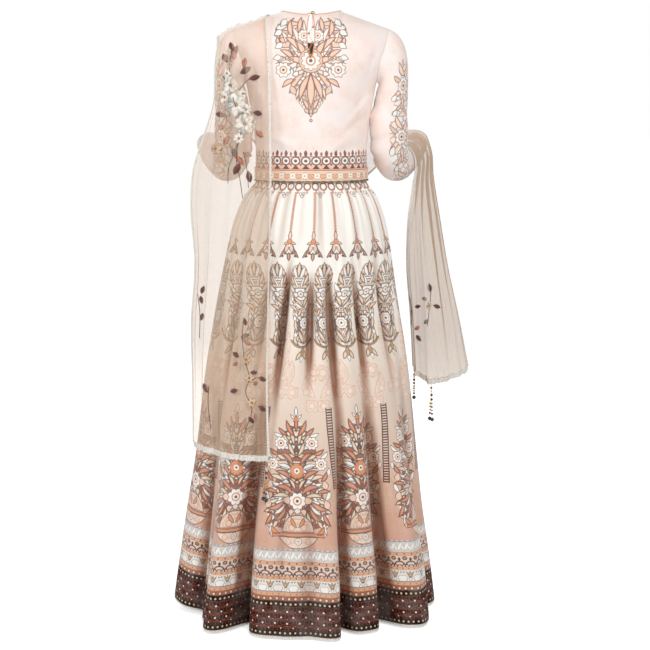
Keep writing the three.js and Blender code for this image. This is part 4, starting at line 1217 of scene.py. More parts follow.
def thread(name, colour, other):
    """Embroidery silk: fine stitches as a bump, and two near shades."""
    tree = Tree("thread_" + name)
    place = tree.place()
    stitch = tree.noise(place, 900.0, 1.0)
    tint = tree.colour_mix(colour, other, tree.ramp(tree.noise(place, 90.0), 0.35, 0.65))
    return tree.surface({"Base Color": tint, "Roughness": 0.5, "Sheen Weight": 0.3},
                        stitch * 0.25)


def floor_paint():
    """Pale paint that the camera sees as white, and that lights the outfit no more for that."""
    tree = Tree("pale_floor")
    patch = tree.noise(tree.place(), 1.5)
    tint = tree.colour_mix(rgb(252, 251, 250), rgb(248, 247, 246), patch)
    seen = tree.add("ShaderNodeLightPath")
    glow = tree.colour_mix((0, 0, 0, 1), (1, 1, 1, 1), seen)
    return tree.surface({"Base Color": tint, "Roughness": 0.9, "Emission Color": glow,
                         "Emission Strength": 0.66})


# Where the net turns denser towards the forearm, with painted shade there, and beside the skirt,
# both across, and clearer towards the shoulder, with painted light there, by height, in metres.
DENSE_AND_PAINTED_SHADE, FREE, CLEARER_AND_PAINTED_LIGHT = (-0.17, -0.22), (0.2, 0.25), (0.04, 0.16)


def sheer_cloth():
    """Warm beige net: clearer over the shoulder, with painted light there; denser where it lies
    in layers on the forearm, with painted shade there.
    """
    tree = Tree("sheer_net")
    place = tree.place()
    weave = tree.noise(place, 700.0)
    across, height = tree.split(place)[::2]
    layered_and_painted_shade = tree.ramp(across, *DENSE_AND_PAINTED_SHADE)
    tint = tree.colour_mix(rgb(214, 184, 154), rgb(230, 206, 180), weave)
    # Darker tint on the forearm fall: painted shade.
    tint = tree.colour_mix(tint, rgb(206, 182, 158), layered_and_painted_shade)
    # Paler tint towards the shoulder: painted light.
    tint = tree.colour_mix(tint, rgb(252, 226, 202), tree.ramp(height, *CLEARER_AND_PAINTED_LIGHT))
    alpha = tree.ramp(weave, 0.2, 0.8, 0.17, 0.29) * tree.ramp(height, *CLEARER_AND_PAINTED_LIGHT, 1.0, 0.7)
    alpha = alpha * tree.ramp(across, *FREE, 1.0, 1.25)
    return tree.surface({"Base Color": tint, "Alpha": layered_and_painted_shade.times_plus(0.2, alpha),
                         "Roughness": 0.55, "Sheen Weight": 0.3})


skirt_cloth, border_cloth, band_cloth = skirt_print(), border_print(), band_print()
blouse_cloth, sleeve_cloth, belt_cloth = blouse_print(), sleeve_print(), belt_print()
satin, lace, metal_thread = satin_cloth(), lace_cloth(), metal_cloth()
gold = bead_paint("brass", rgb(206, 168, 92), 0.25, 0.9)
net = sheer_cloth()
threads = {
    "white": thread("white", rgb(246, 242, 234), rgb(232, 222, 208)),
    "beige": thread("beige", rgb(230, 204, 172), rgb(214, 176, 144)),
    "dark": thread("dark", rgb(84, 40, 38), rgb(120, 62, 48)),
    "rust": thread("rust", rgb(176, 98, 74), rgb(206, 138, 108)),
    "stem": thread("stem", rgb(70, 58, 60), rgb(96, 84, 84)),
}
bead_materials = {
    "black": bead_paint("black", rgb(14, 13, 18)),
    "amber": bead_paint("amber", rgb(176, 104, 36)),
    "gold": bead_paint("gold", rgb(206, 168, 92), 0.22, 0.9),
    "clear": bead_paint("clear", rgb(226, 218, 202)),
    "brown": bead_paint("brown", rgb(104, 50, 26)),
}

# ---- Skirt, border and hem ----

COLUMNS = 300  # of each half's grid
THIN = 0.8  # the skirt's wall
NEAR = 11  # degrees each way over which the folds' height is averaged


# The depths under the folds, which the painted fold shade reads.
def hollows(side, shares):
    """How far each point lies under the folds near it: the fold's height less its average over
    the degrees near it."""
    low, high = HALVES[side]
    fine = np.linspace(low - NEAR, high + NEAR, (high - low + 2 * NEAR) * FINE + 1)[None, :]
    height = fold_shift(fine, shares[:, None] + 0 * fine)[0]
    total = np.cumsum(height, 1)
    reach = NEAR * FINE
    mean = (total[:, 2 * reach:] - total[:, :-2 * reach]) / (2 * reach)
    under = mean - height[:, reach:-reach]
    turns = even_turns(low, high, shares, COLUMNS)[0]
    places = fine[0, reach:-reach]
    return np.stack([np.interp(turn, places, row) for turn, row in zip(turns, under)])


def skirt_piece(name, side, low, high, rows, material, slot, node, ease=1.0):
    """A half of the skirt's face between two shares of its length, as a thin wall. ease above 1
    puts more rows at the top."""
    shares = low + (high - low) * np.linspace(0, 1, rows) ** ease
    grid, printed = skirt_grid(side, shares, COLUMNS)
    # hollow: the depth under the folds, kept for the painted fold shade.
    piece = shell(name, grid, THIN, printed=printed, extra={"hollow": hollows(side, shares)})
    return settle(piece, slot, node, material=material)


skirt_sheets = {}
for side in HALVES:
    skirt_sheets[side] = skirt_piece(
        f"printed_skirt_{side}", side, 0.0, BORDER_TOP, 150, skirt_cloth, "print_cotton",
        f"skirt_{side}", 1.08)
    skirt_sheets["border_" + side] = skirt_piece(
        f"printed_border_{side}", side, BORDER_TOP, BAND_TOP, 24, border_cloth, "border_print",
        f"border_{side}")
    skirt_sheets["band_" + side] = skirt_piece(
        f"dark_hem_band_{side}", side, BAND_TOP, BAND_END, 16, band_cloth, "hem_band",
        f"hem_band_{side}")


# The hem's lace: its rows as shares of the skirt's length, how far behind the skirt's face it
# lies, the scallops' pitch, how far the two lower rows follow them and how far the last is up.
HEM_LACE = dict(rows=(0.9945, 0.9985, 1.0), out=-0.6, pitch=7.5, middle=0.6, low=2.4, up=0.8)
LACE_THICK = 0.6


def hem_lace(side):
    """A narrow strip under the band: its low edge is a row of scallops, the absolute value of a
    sine along the hem."""
    grid, printed = skirt_grid(side, np.array(HEM_LACE["rows"]), 1400, HEM_LACE["out"])
    place = printed[0, :, 0] * printed[0, 0, 2]
    scallop = np.abs(np.sin(place * math.pi / HEM_LACE["pitch"]))
    grid[1, :, 2] -= HEM_LACE["middle"] * scallop
    grid[2, :, 2] -= HEM_LACE["low"] * scallop - HEM_LACE["up"]
    piece = shell(f"hem_lace_{side}", grid, LACE_THICK, printed=printed)
    return settle(piece, "hem_edging", f"hem_edge_{side}", material=lace)


for side in HALVES:
    skirt_sheets["lace_" + side] = hem_lace(side)

# ---- Tubes, beads and discs ----


def tube(points, radius, sides=10, up=(0, 0, 1)):
    """Points and faces of a tube: circles square to the path's direction, closed by end caps."""
    points = np.asarray(points, float)
    count = len(points)
    along = unit(np.gradient(points, axis=0))
    side = unit(np.cross(along, np.asarray(up, float)))
    other = np.cross(side, along)
    turn = round_turns(sides)
    circle = side[:, None] * np.cos(turn)[:, None] + other[:, None] * np.sin(turn)[:, None]
    grid = (points[:, None] + circle * radius).reshape(-1, 3)
    i, j = np.meshgrid(np.arange(sides), np.arange(count - 1))
    a = (j * sides + i).ravel()
    b = (j * sides + (i + 1) % sides).ravel()
    faces = np.stack([a, a + sides, b + sides, b], 1).tolist()
    faces.append(list(range(sides)))
    faces.append([(count - 1) * sides + k for k in reversed(range(sides))])
    return grid, faces


def joined(name, parts):
    """One object from many (points, faces) parts."""
    points, faces, base = [], [], 0
    for some, their in parts:
        points.append(some)
        faces += [[base + k for k in face] for face in their]
        base += len(some)
    return new_object(name, np.concatenate(points), faces)


def sewn(name, parts, slot, *nodes, material):
    """Parts as one object that is settled on the body."""
    return settle(joined(name, parts), slot, *nodes, material=material)


def copies(shape, places, rights, ups, outs):
    """A shape's points copied to many places as whole arrays: each copy's x, y and z run along
    its own right, up and out."""
    points, faces = shape
    axes = np.stack([rights, ups, outs], 1)
    moved = np.einsum("pk,nkc->npc", points, axes) + np.asarray(places)[:, None]
    count = len(points)
    total = []
    for n in range(len(places)):
        total += [[n * count + k for k in face] for face in faces]
    return moved.reshape(-1, 3), total


def dome_shape(radius, height, sides):
    """A low round stud: rings at the rim, a quarter of the way up and near the top, closed
    below."""
    rings = [(radius * 0.96, -0.15), (radius, 0.25 * height), (radius * 0.62, height * 0.84)]
    turn = round_turns(sides)
    points = [(r * math.cos(t), r * math.sin(t), h) for r, h in rings for t in turn]
    points.append((0, 0, height))
    faces = []
    for ring in range(2):
        for k in range(sides):
            a, b = ring * sides + k, ring * sides + (k + 1) % sides
            faces.append([a, b, b + sides, a + sides])
    top = 3 * sides
    faces += [[2 * sides + k, 2 * sides + (k + 1) % sides, top] for k in range(sides)]
    faces.append(list(reversed(range(sides))))
    return np.array(points), faces


def ball_shape(radius, sides, rings):
    """A bead: rings of a sphere with a point at each end, its axis along z."""
    points = [(0, 0, -radius)]
    turn = round_turns(sides)
    for k in range(1, rings):
        tilt = math.pi * k / rings
        r, h = radius * math.sin(tilt), -radius * math.cos(tilt)
        points += [(r * math.cos(t), r * math.sin(t), h) for t in turn]
    points.append((0, 0, radius))
    top = len(points) - 1
    faces = [[0, 1 + (k + 1) % sides, 1 + k] for k in range(sides)]
    for ring in range(rings - 2):
        for k in range(sides):
            a, b = 1 + ring * sides + k, 1 + ring * sides + (k + 1) % sides
            faces.append([a, b, b + sides, a + sides])
    low = 1 + (rings - 2) * sides
    faces += [[low + k, low + (k + 1) % sides, top] for k in range(sides)]
    return np.array(points), faces


# ---- Belt ----

# Each lies on the waist's ellipse: how far out of it, heights and radii.
BELT = dict(top=19, low=-3, out=2.2, crown=0.9, thick=1.4)
PIPING = dict(z=21.6, out=2.1, radius=1.6)
CORD = dict(z=-6, out=2.6, reach=0.85, radius=0.95, pitch=6.5 * math.pi)
# The waist's middle radius, and the gap in degrees between two halves.
WAIST_RADIUS, HALF_GAP = 112, 0.4


def waist_ring(turn, reach, z):
    """Points of the waist's ellipse, grown by a reach, at a height."""
    s, c = np.sin(np.radians(turn)), np.cos(np.radians(turn))
    return np.stack([(WAIST_WIDE + reach) * s, (WAIST_DEEP + reach) * c, z + 0 * turn], -1)


def belt_piece(side):
    """The belt's half: across its height it swells like a sine, so that it looks filled."""
    turns = np.linspace(*HALVES[side], 180)[None, :]
    height = np.linspace(BELT["top"], BELT["low"], 15)[:, None]
    share = (height - BELT["low"]) / (BELT["top"] - BELT["low"])
    crown = BELT["out"] + BELT["crown"] * np.sin(np.pi * share) ** 0.5
    grid = waist_ring(turns + 0 * height, crown, height)
    place = np.radians(turns) * (WAIST_WIDE + WAIST_DEEP) / 2
    printed = together(place, height, 0 * turns)
    piece = shell(f"belt_band_{side}", grid, BELT["thick"], printed=printed)
    return settle(piece, "belt_cloth", f"belt_{side}", material=belt_cloth)


def waist_cords(side):
    """The piping, a circle carried round the waist, and the cord: two such circles that turn
    round each other by a steady angle."""
    low, high = HALVES[side]
    turns = np.linspace(low + HALF_GAP, high - HALF_GAP, 200)
    satin_tube = tube(waist_ring(turns, PIPING["out"], PIPING["z"]), PIPING["radius"])
    sewn(f"waist_piping_satin_{side}", [satin_tube], "peach_piping", f"waist_piping_{side}",
         material=satin)
    turns = np.linspace(low + HALF_GAP, high - HALF_GAP, 900)
    strands = []
    for start in (0, math.pi):
        angle = np.radians(turns) * WAIST_RADIUS * 2 * math.pi / CORD["pitch"] + start
        path = waist_ring(turns, CORD["out"] + CORD["reach"] * np.cos(angle), CORD["z"])
        path[:, 2] += CORD["reach"] * np.sin(angle)
        strands.append(tube(path, CORD["radius"], 6))
    sewn(f"metal_thread_cord_{side}", strands, "metal_cord", f"belt_cord_{side}",
         material=metal_thread)


for side in HALVES:
    belt_piece(side)
    waist_cords(side)

# ---- Blouse ----

BLOUSE_THICK = 0.9
# Soft creases of the blouse's back and front: a line from (x0, z0) to (x1, z1), the width and how
# far out.
BODICE_CREASES = {
    "back": named(
        "x0 z0 x1 z1 wide out",
        (-132, 196, -96, 150, 7, -4.5), (-128, 172, -84, 118, 8, 3.5),
        (-124, 140, -70, 96, 7, -3.5), (-122, 100, -40, 62, 9, 3.2), (-118, 72, -30, 48, 6, -2.6),
        (20, 66, 112, 92, 8, 3.0), (14, 48, 110, 64, 6, -2.4), (86, 224, 92, 92, 6, -3.6),
        (104, 206, 108, 84, 7, 3.2), (126, 196, 98, 150, 7, -4.0), (-150, 292, -124, 214, 7, -3.2),
        (148, 292, 124, 214, 7, -3.2), (-60, 330, -110, 300, 12, 1.6), (-30, 110, 36, 104, 14, 1.6),
        (0, 250, 0, 60, 16, -2.2)),
    "front": named(
        "x0 z0 x1 z1 wide out",
        (-132, 196, -92, 146, 7, -4.0), (-126, 150, -60, 100, 8, 3.0), (-120, 96, -30, 56, 8, -2.8),
        (132, 196, 94, 150, 7, -4.0), (124, 144, 58, 102, 8, 3.0), (118, 90, 26, 52, 8, -2.6),
        (-52, 318, -84, 230, 9, 2.0), (54, 316, 86, 232, 9, 2.0), (-150, 290, -126, 214, 7, -3.0),
        (150, 290, 126, 214, 7, -3.0)),
}


def line_creases(x, z, creases):
    """Sum of bell-shaped ridges across each line, fading towards the line's two ends."""
    out = np.zeros_like(x)
    for crease in creases:
        along = np.array([crease["x1"] - crease["x0"], crease["z1"] - crease["z0"]], float)
        length = np.hypot(*along)
        along /= length
        s = ((x - crease["x0"]) * along[0] + (z - crease["z0"]) * along[1]) / length
        t = (x - crease["x0"]) * along[1] - (z - crease["z0"]) * along[0]
        bow = t + 0.05 * length * np.sin(np.pi * np.clip(s, 0, 1))
        fade = smooth(s * 2.2 + 0.15) * smooth((1 - s) * 2.2 + 0.15)
        out += crease["out"] * fade * bell(bow, crease["wide"])
    return out


def keyhole_half(z):
    """The keyhole's half width at a height: a power of a circle's, so that it ends in a point."""
    middle = (KEYHOLE["top"] + KEYHOLE["bottom"]) / 2
    tall = (KEYHOLE["top"] - KEYHOLE["bottom"]) / 2
    return KEYHOLE["half"] * np.clip(1 - ((z - middle) / tall) ** 2, 0, 1) ** 0.65


def bodice_grid(front):
    """The panel's points as two halves side by side. At the back the two middle columns part
    round the keyhole."""
    up = np.linspace(0, 1, 90)[:, None]
    across = np.linspace(0, 1, 61)[None, :]
    halves = []
    for side, middle in ((-1, -1), (1, 0)):
        share = side * (across[:, ::-1] if side < 0 else across)
        grid = panel_at(share + 0 * up, up + 0 * share, front)
        if not front:
            grid = panel_at(share + 0 * up, up + 0 * share, front, keyhole_half(grid[..., 2]))
            grid[:, middle, 0] = side * keyhole_half(grid[:, middle, 2])
        halves.append(grid)
    grid = np.concatenate(halves, 1)
    creases = BODICE_CREASES["front" if front else "back"]
    out = line_creases(grid[..., 0], grid[..., 2], creases) * smooth(up / 0.12)
    out = out * smooth((1 - np.abs(np.concatenate([-across[:, ::-1], across], 1))) / 0.12)
    grid[..., 1] += out * (-1 if front else 1)
    return grid


def blouse_front():
    """The front panel in one wall: the middle column is there once."""
    grid = bodice_grid(True)
    half = grid.shape[1] // 2
    grid = np.concatenate([grid[:, :half], grid[:, half + 1:]], 1)
    piece = shell("blouse_front", grid, BLOUSE_THICK)
    return settle(piece, "blouse_cotton", "bodice_front", material=blouse_cloth)


def blouse_back(grid):
    """Right and left halves as closed walls, made one where their middle edges meet above and
    below the keyhole."""
    half = grid.shape[1] // 2
    parts = [shell(f"blouse_back_{name}", part, BLOUSE_THICK, inwards=-1)
             for name, part in (("right", grid[:, :half]), ("left", grid[:, half:]))]
    with bpy.context.temp_override(active_object=parts[0], selected_editable_objects=parts):
        bpy.ops.object.join()
    piece = parts[0]
    piece.name = "blouse_back"
    weld_middle(piece.data)
    return settle(piece, "blouse_cotton", "bodice_back", material=blouse_cloth)


def weld_middle(mesh):
    """Removes the two rims that meet in the middle plane and merges their points."""
    work = bmesh.new()
    work.from_mesh(mesh)
    near = 1e-5  # metres
    inner = [f for f in work.faces if all(abs(v.co.x) < near for v in f.verts)]
    bmesh.ops.delete(work, geom=inner, context="FACES_ONLY")
    middle = [v for v in work.verts if abs(v.co.x) < near]
    bmesh.ops.remove_doubles(work, verts=middle, dist=near)
    work.to_mesh(mesh)
    work.free()


back_grid = bodice_grid(False)
back_panel, front_panel = blouse_back(back_grid), blouse_front()


def back_point(x, z, out=0.0):
    """Points of the blouse's back at places across and heights, by the nearest grid points."""
    flat = back_grid.reshape(-1, 3)
    x, z = np.atleast_1d(x).astype(float), np.atleast_1d(z).astype(float)
    gap = (flat[None, :, 0] - x[:, None]) ** 2 + (flat[None, :, 2] - z[:, None]) ** 2
    near = np.argsort(gap, 1)[:, :4]
    weight = 1 / (np.take_along_axis(gap, near, 1) + 0.01)
    y = (flat[near, 1] * weight).sum(1) / weight.sum(1)
    return np.stack([x, y + out, z], -1)


# ---- Neck: bindings, button, loop and beaded tie ----


def neck_pieces():
    """Bindings, loop and string are circles carried along paths; button and beads are spheres."""
    turn = np.radians(np.linspace(6, 354, 220))
    front = np.cos(turn) < 0
    x = NECK["half"] * np.sin(turn)
    y = np.where(front, NECK["deepFront"], NECK["deepBack"]) * np.cos(turn)
    z = np.where(front, top_edge(x, NECK["front"]), top_edge(x, NECK["back"]))
    binding = tube(np.stack([x, y, z + 0.8], -1), 1.5)
    sewn("neck_binding_satin", [binding], "peach_piping", "neck_binding", material=satin)
    edge_z = np.concatenate([np.linspace(359, 266.4, 60), np.linspace(266.4, 359, 60)[1:]])
    side = np.concatenate([-np.ones(60), np.ones(59)])
    path = back_point(side * (keyhole_half(edge_z) + 0.6), edge_z, 0.6)
    path[58:61, 0] *= 0.5
    edge = tube(path, 1.15, 8, up=(0, 1, 0))
    sewn("keyhole_edge_satin", [edge], "peach_piping", "keyhole_binding", material=satin)
    middle = np.array([-3.5, NECK["deepBack"] + 2, NECK["back"] + 4.6])
    points, faces = ball_shape(4.0, 20, 12)
    button = (points + middle, faces)
    sewn("gold_neck_button", [button], "gold_bead", "neck_button", material=gold)
    loop_points = np.array([[11.4, -1.6, -1.6], [5.6, 3.4, -0.4], [0, 5.7, 0], [-4.2, 4.2, 0],
                            [-5.7, 0, 0], [-4.2, -4.2, 0], [0, -5.7, 0], [6, -5, -0.8],
                            [11.2, -4.2, -1.6]]) + middle
    curve = spline(loop_points[:, None], np.linspace(0, 1, 60))[:, 0]
    loop = tube(curve, 0.8, 8)
    sewn("satin_button_loop", [loop], "peach_piping", "button_loop", material=satin)
    beads = np.array([[-4.5, 333], [4.5, 319], [-3.5, 299], [3.5, 284], [0, 272]])
    path = np.concatenate([
        middle[None] + [[0, 3.85, -2.5]], back_point([-3, -3], [355, 345], 5.2),
        back_point(beads[:, 0], beads[:, 1], 5.4)])
    string = spline(path[:, None], np.linspace(0, 1, 60))[:, 0]
    tie = sewn("neck_tie_string", [tube(string, 0.5, 8, up=(0, 1, 0))], "gold_bead", "neck_tie",
               material=satin)
    points, faces = ball_shape(2.7, 12, 8)
    beads = sewn("neck_tie_beads", [(points + place, faces) for place in path[3:]], "gold_bead",
                 material=gold)
    (string[0] * MM).tolist()
    (string * MM).tolist()


neck_pieces()

# ---- Sleeves ----

SLEEVE_COLUMNS, CAP_ROWS, SLEEVE_ROWS = 72, 22, 92
# Sleeve wrinkles: where along (ring number), round the arm in degrees from the outer side
# towards the back, how wide each way, and how far out.
SLEEVE_WRINKLES = named(
    "v turn long wide out",
    (1.5, 150, 0.22, 60, -3.0), (2.1, 170, 0.18, 50, 2.6), (3.0, 140, 0.16, 55, -2.6),
    (3.5, 175, 0.15, 60, 3.0), (3.95, 200, 0.14, 60, -4.5), (4.3, 215, 0.13, 55, 3.6),
    (4.7, 225, 0.14, 60, -4.2), (5.2, 240, 0.16, 60, 2.8), (4.1, 60, 0.2, 45, -2.2),
    (4.8, 40, 0.2, 45, -2.0), (5.8, 120, 0.2, 70, -2.4), (6.5, 300, 0.2, 70, 2.2),
    (2.6, 20, 0.4, 40, 1.8), (1.9, 330, 0.35, 40, -1.8))


def armhole_ring(count):
    """The panels' edges: down the back one from the shoulder's tip, then up the front one."""
    low = (ARMHOLE_LOW - BLOUSE_LOW) / (
        top_edge(np.array(SHOULDER_HALF * 1.0), NECK["back"]) - BLOUSE_LOW)
    t = np.linspace(0, 1, count, endpoint=False)
    down = np.where(t > 0.5, 2 - 2 * t, 2 * t)
    up = mix(1.0, low, down)
    back, front = panel_at(np.ones(count), up, False), panel_at(np.ones(count), up, True)
    ring = np.where((t > 0.5)[:, None], front, back)
    return ring + [0.4, 0, 0]


def sleeve_grid(side):
    """A cap that bends from the armhole into the first ring, then a smooth tube through rings
    that stand square to the arm, with the wrinkles moved out of it."""
    turn = round_turns(SLEEVE_COLUMNS)
    middle = SLEEVE_RINGS[:, :3]
    along = np.zeros((len(middle), 3))
    along[:2] = [0, 0, -1]
    along[2:-1] = unit(middle[3:] - middle[1:-2])
    along[-1] = unit(middle[-1] - middle[-2])
    out = unit(np.array([1.0, 0, 0]) - along * along[:, :1])
    behind = np.cross(out, along)
    wide, deep = SLEEVE_RINGS[:, 3, None, None], SLEEVE_RINGS[:, 4, None, None]
    rings = middle[:, None] + out[:, None] * wide * np.cos(turn)[:, None]
    rings = rings + behind[:, None] * deep * np.sin(turn)[:, None]
    armhole = armhole_ring(SLEEVE_COLUMNS)
    t = np.linspace(0, 1, CAP_ROWS)[:, None, None]
    gap = np.linalg.norm(rings[0] - armhole, axis=-1, keepdims=True) * 1.1
    start = unit(np.array([1, 0, -SHOULDER_SLOPE])) * gap
    end = np.array([0, 0, -1.0]) * gap
    cap = (2 * t**3 - 3 * t**2 + 1) * armhole + (t**3 - 2 * t**2 + t) * start
    cap = cap + (3 * t**2 - 2 * t**3) * rings[0] + (t**3 - t**2) * end
    body = spline(rings, np.linspace(0, 1, SLEEVE_ROWS))[1:]
    grid = np.concatenate([cap, body])
    v = np.linspace(1, len(SLEEVE_RINGS), SLEEVE_ROWS)[1:]
    v = np.concatenate([np.linspace(0, 1, CAP_ROWS), v])[:, None]
    normals = grid_normals(grid, True)
    lift = np.zeros(grid.shape[:2])
    for wrinkle in SLEEVE_WRINKLES:
        beside = apart(np.degrees(turn)[None, :], wrinkle["turn"])
        slant = v - wrinkle["v"] - 0.0016 * beside
        lift += wrinkle["out"] * bell(slant, wrinkle["long"]) * bell(beside, wrinkle["wide"])
    grid = grid - normals * (lift * smooth(v))[..., None]
    length = np.linalg.norm(np.diff(grid, axis=0), axis=-1).mean(1)
    down = np.concatenate([[0], np.cumsum(length)])
    printed = together(turn[None, :] / (2 * np.pi), down[:, None], v)
    return grid * [side, 1, 1], printed


for label, side in (("right", -1), ("left", 1)):
    grid, printed = sleeve_grid(side)
    piece = shell(f"blouse_sleeve_{label}", grid, BLOUSE_THICK, -side, True, printed)
    settle(piece, "blouse_cotton", f"sleeve_{label}", material=sleeve_cloth)

# ---- Dupatta ----

# Long pleats: place across, width and how far out.
DUPATTA_PLEATS = named(
    "across wide out",
    (0.1, 0.03, 7), (0.22, 0.028, -4), (0.33, 0.03, 8), (0.45, 0.03, -4), (0.56, 0.032, 9),
    (0.68, 0.028, -4), (0.79, 0.03, 8), (0.91, 0.028, 6))
# The shares of its length where the dupatta crosses the shoulder and the forearm, and how much of
# the pleats and of the fine ripples is left between them.
RIDGE, FOREARM = 10 / 25, 18 / 25
PLEATS_HELD, RIPPLES_HELD = 0.28, 0.25
DUPATTA_ROWS, DUPATTA_COLUMNS, DUPATTA_THICK = 420, 110, 0.35
CLEAR = 4.0  # from the skirt's face


def clear_of_skirt(points, gap):
    """Moves points that lie in or near the skirt out to a gap from its face, away from its
    middle."""
    share = (WAIST_TOP - points[..., 2]) / SKIRT_LENGTH
    z = points[..., 2]
    wide = column(SKIRT_SECTIONS, "wide", z)
    back = column(SKIRT_SECTIONS, "back", z)
    deep = np.where(points[..., 1] > 0, back, column(SKIRT_SECTIONS, "front", z))
    x = points[..., 0] - column(SKIRT_SECTIONS, "swing", z)
    turn = np.degrees(np.arctan2(x / wide, points[..., 1] / deep))
    face = skirt_at(turn, np.clip(share, 0, 1), gap)
    swing = points[..., 0] - x
    need = np.hypot((face[..., 0] - swing) / wide, face[..., 1] / deep)
    have = np.hypot(x / wide, points[..., 1] / deep)
    grow = np.where(share > 0.03, np.maximum(need / np.maximum(have, 1e-6), 1), 1)
    return np.stack([swing + x * grow, points[..., 1] * grow, z], -1)


def dupatta_grid():
    """A smooth sheet through the cross-sections, both ways, then pleated along its length and
    kept clear of the skirt."""
    sections = np.array(BACK_FALL[::-1] + FRONT_SWAG + FOREARM_FALL, float)
    across = np.linspace(0, 1, DUPATTA_COLUMNS)
    down = np.linspace(0, 1, DUPATTA_ROWS)
    wide = spline(sections.transpose(1, 0, 2), across)
    grid = spline(wide.transpose(1, 0, 2), down)
    lift = np.zeros(grid.shape[:2])
    t = down[:, None]
    hanging = smooth((RIDGE - t) / 0.16) + smooth((t - FOREARM) / 0.14)
    held = mix(PLEATS_HELD, 1, hanging)
    for pleat in DUPATTA_PLEATS:
        drift = 0.012 * np.sin(9 * t + 20 * pleat["across"])
        beside = across[None, :] - pleat["across"] - drift
        lift += pleat["out"] * bell(beside, pleat["wide"]) * held
    ripple = np.sin(across[None, :] * 95 + 3 * np.sin(6 * t)) * 1.1
    ripple += np.sin(across[None, :] * 61 + 14 * t) * 0.9
    lift += ripple * mix(RIPPLES_HELD, 1, hanging)
    grid = grid - grid_normals(grid) * lift[..., None]
    return clear_of_skirt(grid, CLEAR)


dupatta_points = dupatta_grid()
dupatta = settle(
    shell("sheer_dupatta", dupatta_points, DUPATTA_THICK, -1), "sheer_net", "dupatta_back_fall",
    "dupatta_front_swag", "dupatta_forearm_fall", material=net)


def edge_strip(line, inner, width, scallop, pitch):
    """A strip that goes on from a sheet's edge: rows at the edge, and beyond it by the width and
    a scallop, the absolute value of a sine along the edge."""
    length = np.concatenate([[0], np.cumsum(np.linalg.norm(np.diff(line, axis=0), axis=1))])
    count = int(length[-1] / (pitch / 4))
    even = np.linspace(0, length[-1], count)
    path = np.stack([np.interp(even, length, line[:, k]) for k in range(3)], -1)
    beside = np.stack([np.interp(even, length, inner[:, k]) for k in range(3)], -1)
    out = unit(path - beside)
    wide = width + scallop * np.abs(np.sin(np.pi * even / pitch))
    return np.stack([path - out * 1.5, path + out * wide[:, None]], 1)


def lace_edging():
    """Lace round the dupatta: a wide row at its two ends and a narrow one along its sides."""
    grid = dupatta_points
    pieces = []
    for name, row in (("back", 0), ("forearm", -1)):
        line = grid[row]
        strip = edge_strip(line, line + [0, 0, 10], EDGING - 2, 2.2, 9.0)
        piece = shell(f"dupatta_end_lace_{name}", strip, LACE_THICK, 1 if row else -1)
        settle(piece, "white_lace", f"dupatta_edging_{name}", material=lace)
        pieces.append(piece)
    for name, line, inner in (("inner", grid[:, 0], grid[:, 4]),
                              ("outer", grid[:, -1], grid[:, -5])):
        strip = edge_strip(line, inner, 2.6, 1.6, 5.4)
        piece = shell(f"dupatta_side_lace_{name}", strip, 0.7, 1 if name == "outer" else -1)
        settle(piece, "white_lace", material=lace)
        pieces.append(piece)
    return pieces


dupatta_lace = lace_edging()

# ---- Embroidery on the dupatta ----

# White flowers: place across and up, radius and petals. Beige ones are smaller.
FLOWERS = {
    "white": [
        (178, 206, 22, 10), (166, 164, 28, 11), (144, 122, 25, 10), (160, 90, 13, 7),
        (192, 180, 15, 8), (142, 154, 13, 8), (186, 232, 12, 7), (150, 188, 12, 7),
        (-214, -168, 9, 7), (-232, -318, 9, 7)],
    "beige": [
        (213, 66, 15, 6), (143, -392, 12, 6), (136, -432, 11, 6), (130, -486, 12, 6),
        (178, 252, 8, 6), (196, -330, 9, 6), (-272, -300, 9, 6), (-206, -216, 8, 6)],
}
# Leaves: place across and up, direction in degrees (0 to the left, 90 up) and length.
LEAVES = {
    "dark": [
        (176, 268, 120, 30), (184, 256, 60, 28), (172, 282, 70, 24), (196, 226, 20, 28),
        (156, 232, 150, 30), (136, 220, 165, 26), (174, 70, 250, 28), (157, 36, 300, 30),
        (139, 20, 260, 28), (128, 148, 190, 24), (190, 140, 10, 28), (196, 176, 30, 22),
        (155, -344, 160, 22), (150, -360, 10, 20), (159, -388, 30, 22), (134, -420, 170, 20),
        (118, -428, 200, 22), (161, -460, 340, 24), (118, -490, 210, 22), (155, -520, 320, 20),
        (138, -516, 230, 20), (144, -318, 80, 18), (232, -478, 60, 26), (226, -500, 140, 22),
        (236, -520, 20, 22), (228, -544, 200, 22), (250, -262, 112, 22), (247, -284, 75, 20),
        (249, -300, 160, 20), (250, -322, 105, 20), (246, -340, 200, 20), (-202, -160, 120, 18),
        (-206, -190, 40, 18), (-216, -206, 330, 20), (-204, -234, 250, 18), (-232, -290, 60, 20),
        (-240, -306, 160, 18), (-276, -270, 80, 22), (-282, -300, 200, 20), (-270, -330, 300, 20),
        (-236, -350, 30, 20), (-244, -372, 230, 20), (-226, -384, 300, 18)],
    "rust": [
        (168, 262, 80, 26), (190, 240, 350, 26), (148, 244, 100, 24), (182, 96, 300, 26),
        (166, 52, 230, 26), (148, 58, 200, 22), (122, 108, 220, 26), (192, 118, 330, 24),
        (148, -352, 200, 18), (161, -400, 330, 18), (128, -446, 150, 18), (152, -474, 20, 18),
        (124, -508, 250, 18), (240, -496, 350, 20), (222, -530, 170, 20), (262, -296, 20, 20),
        (-210, -178, 150, 16), (-226, -300, 110, 18), (-268, -286, 20, 18), (-240, -360, 140, 18)],
}
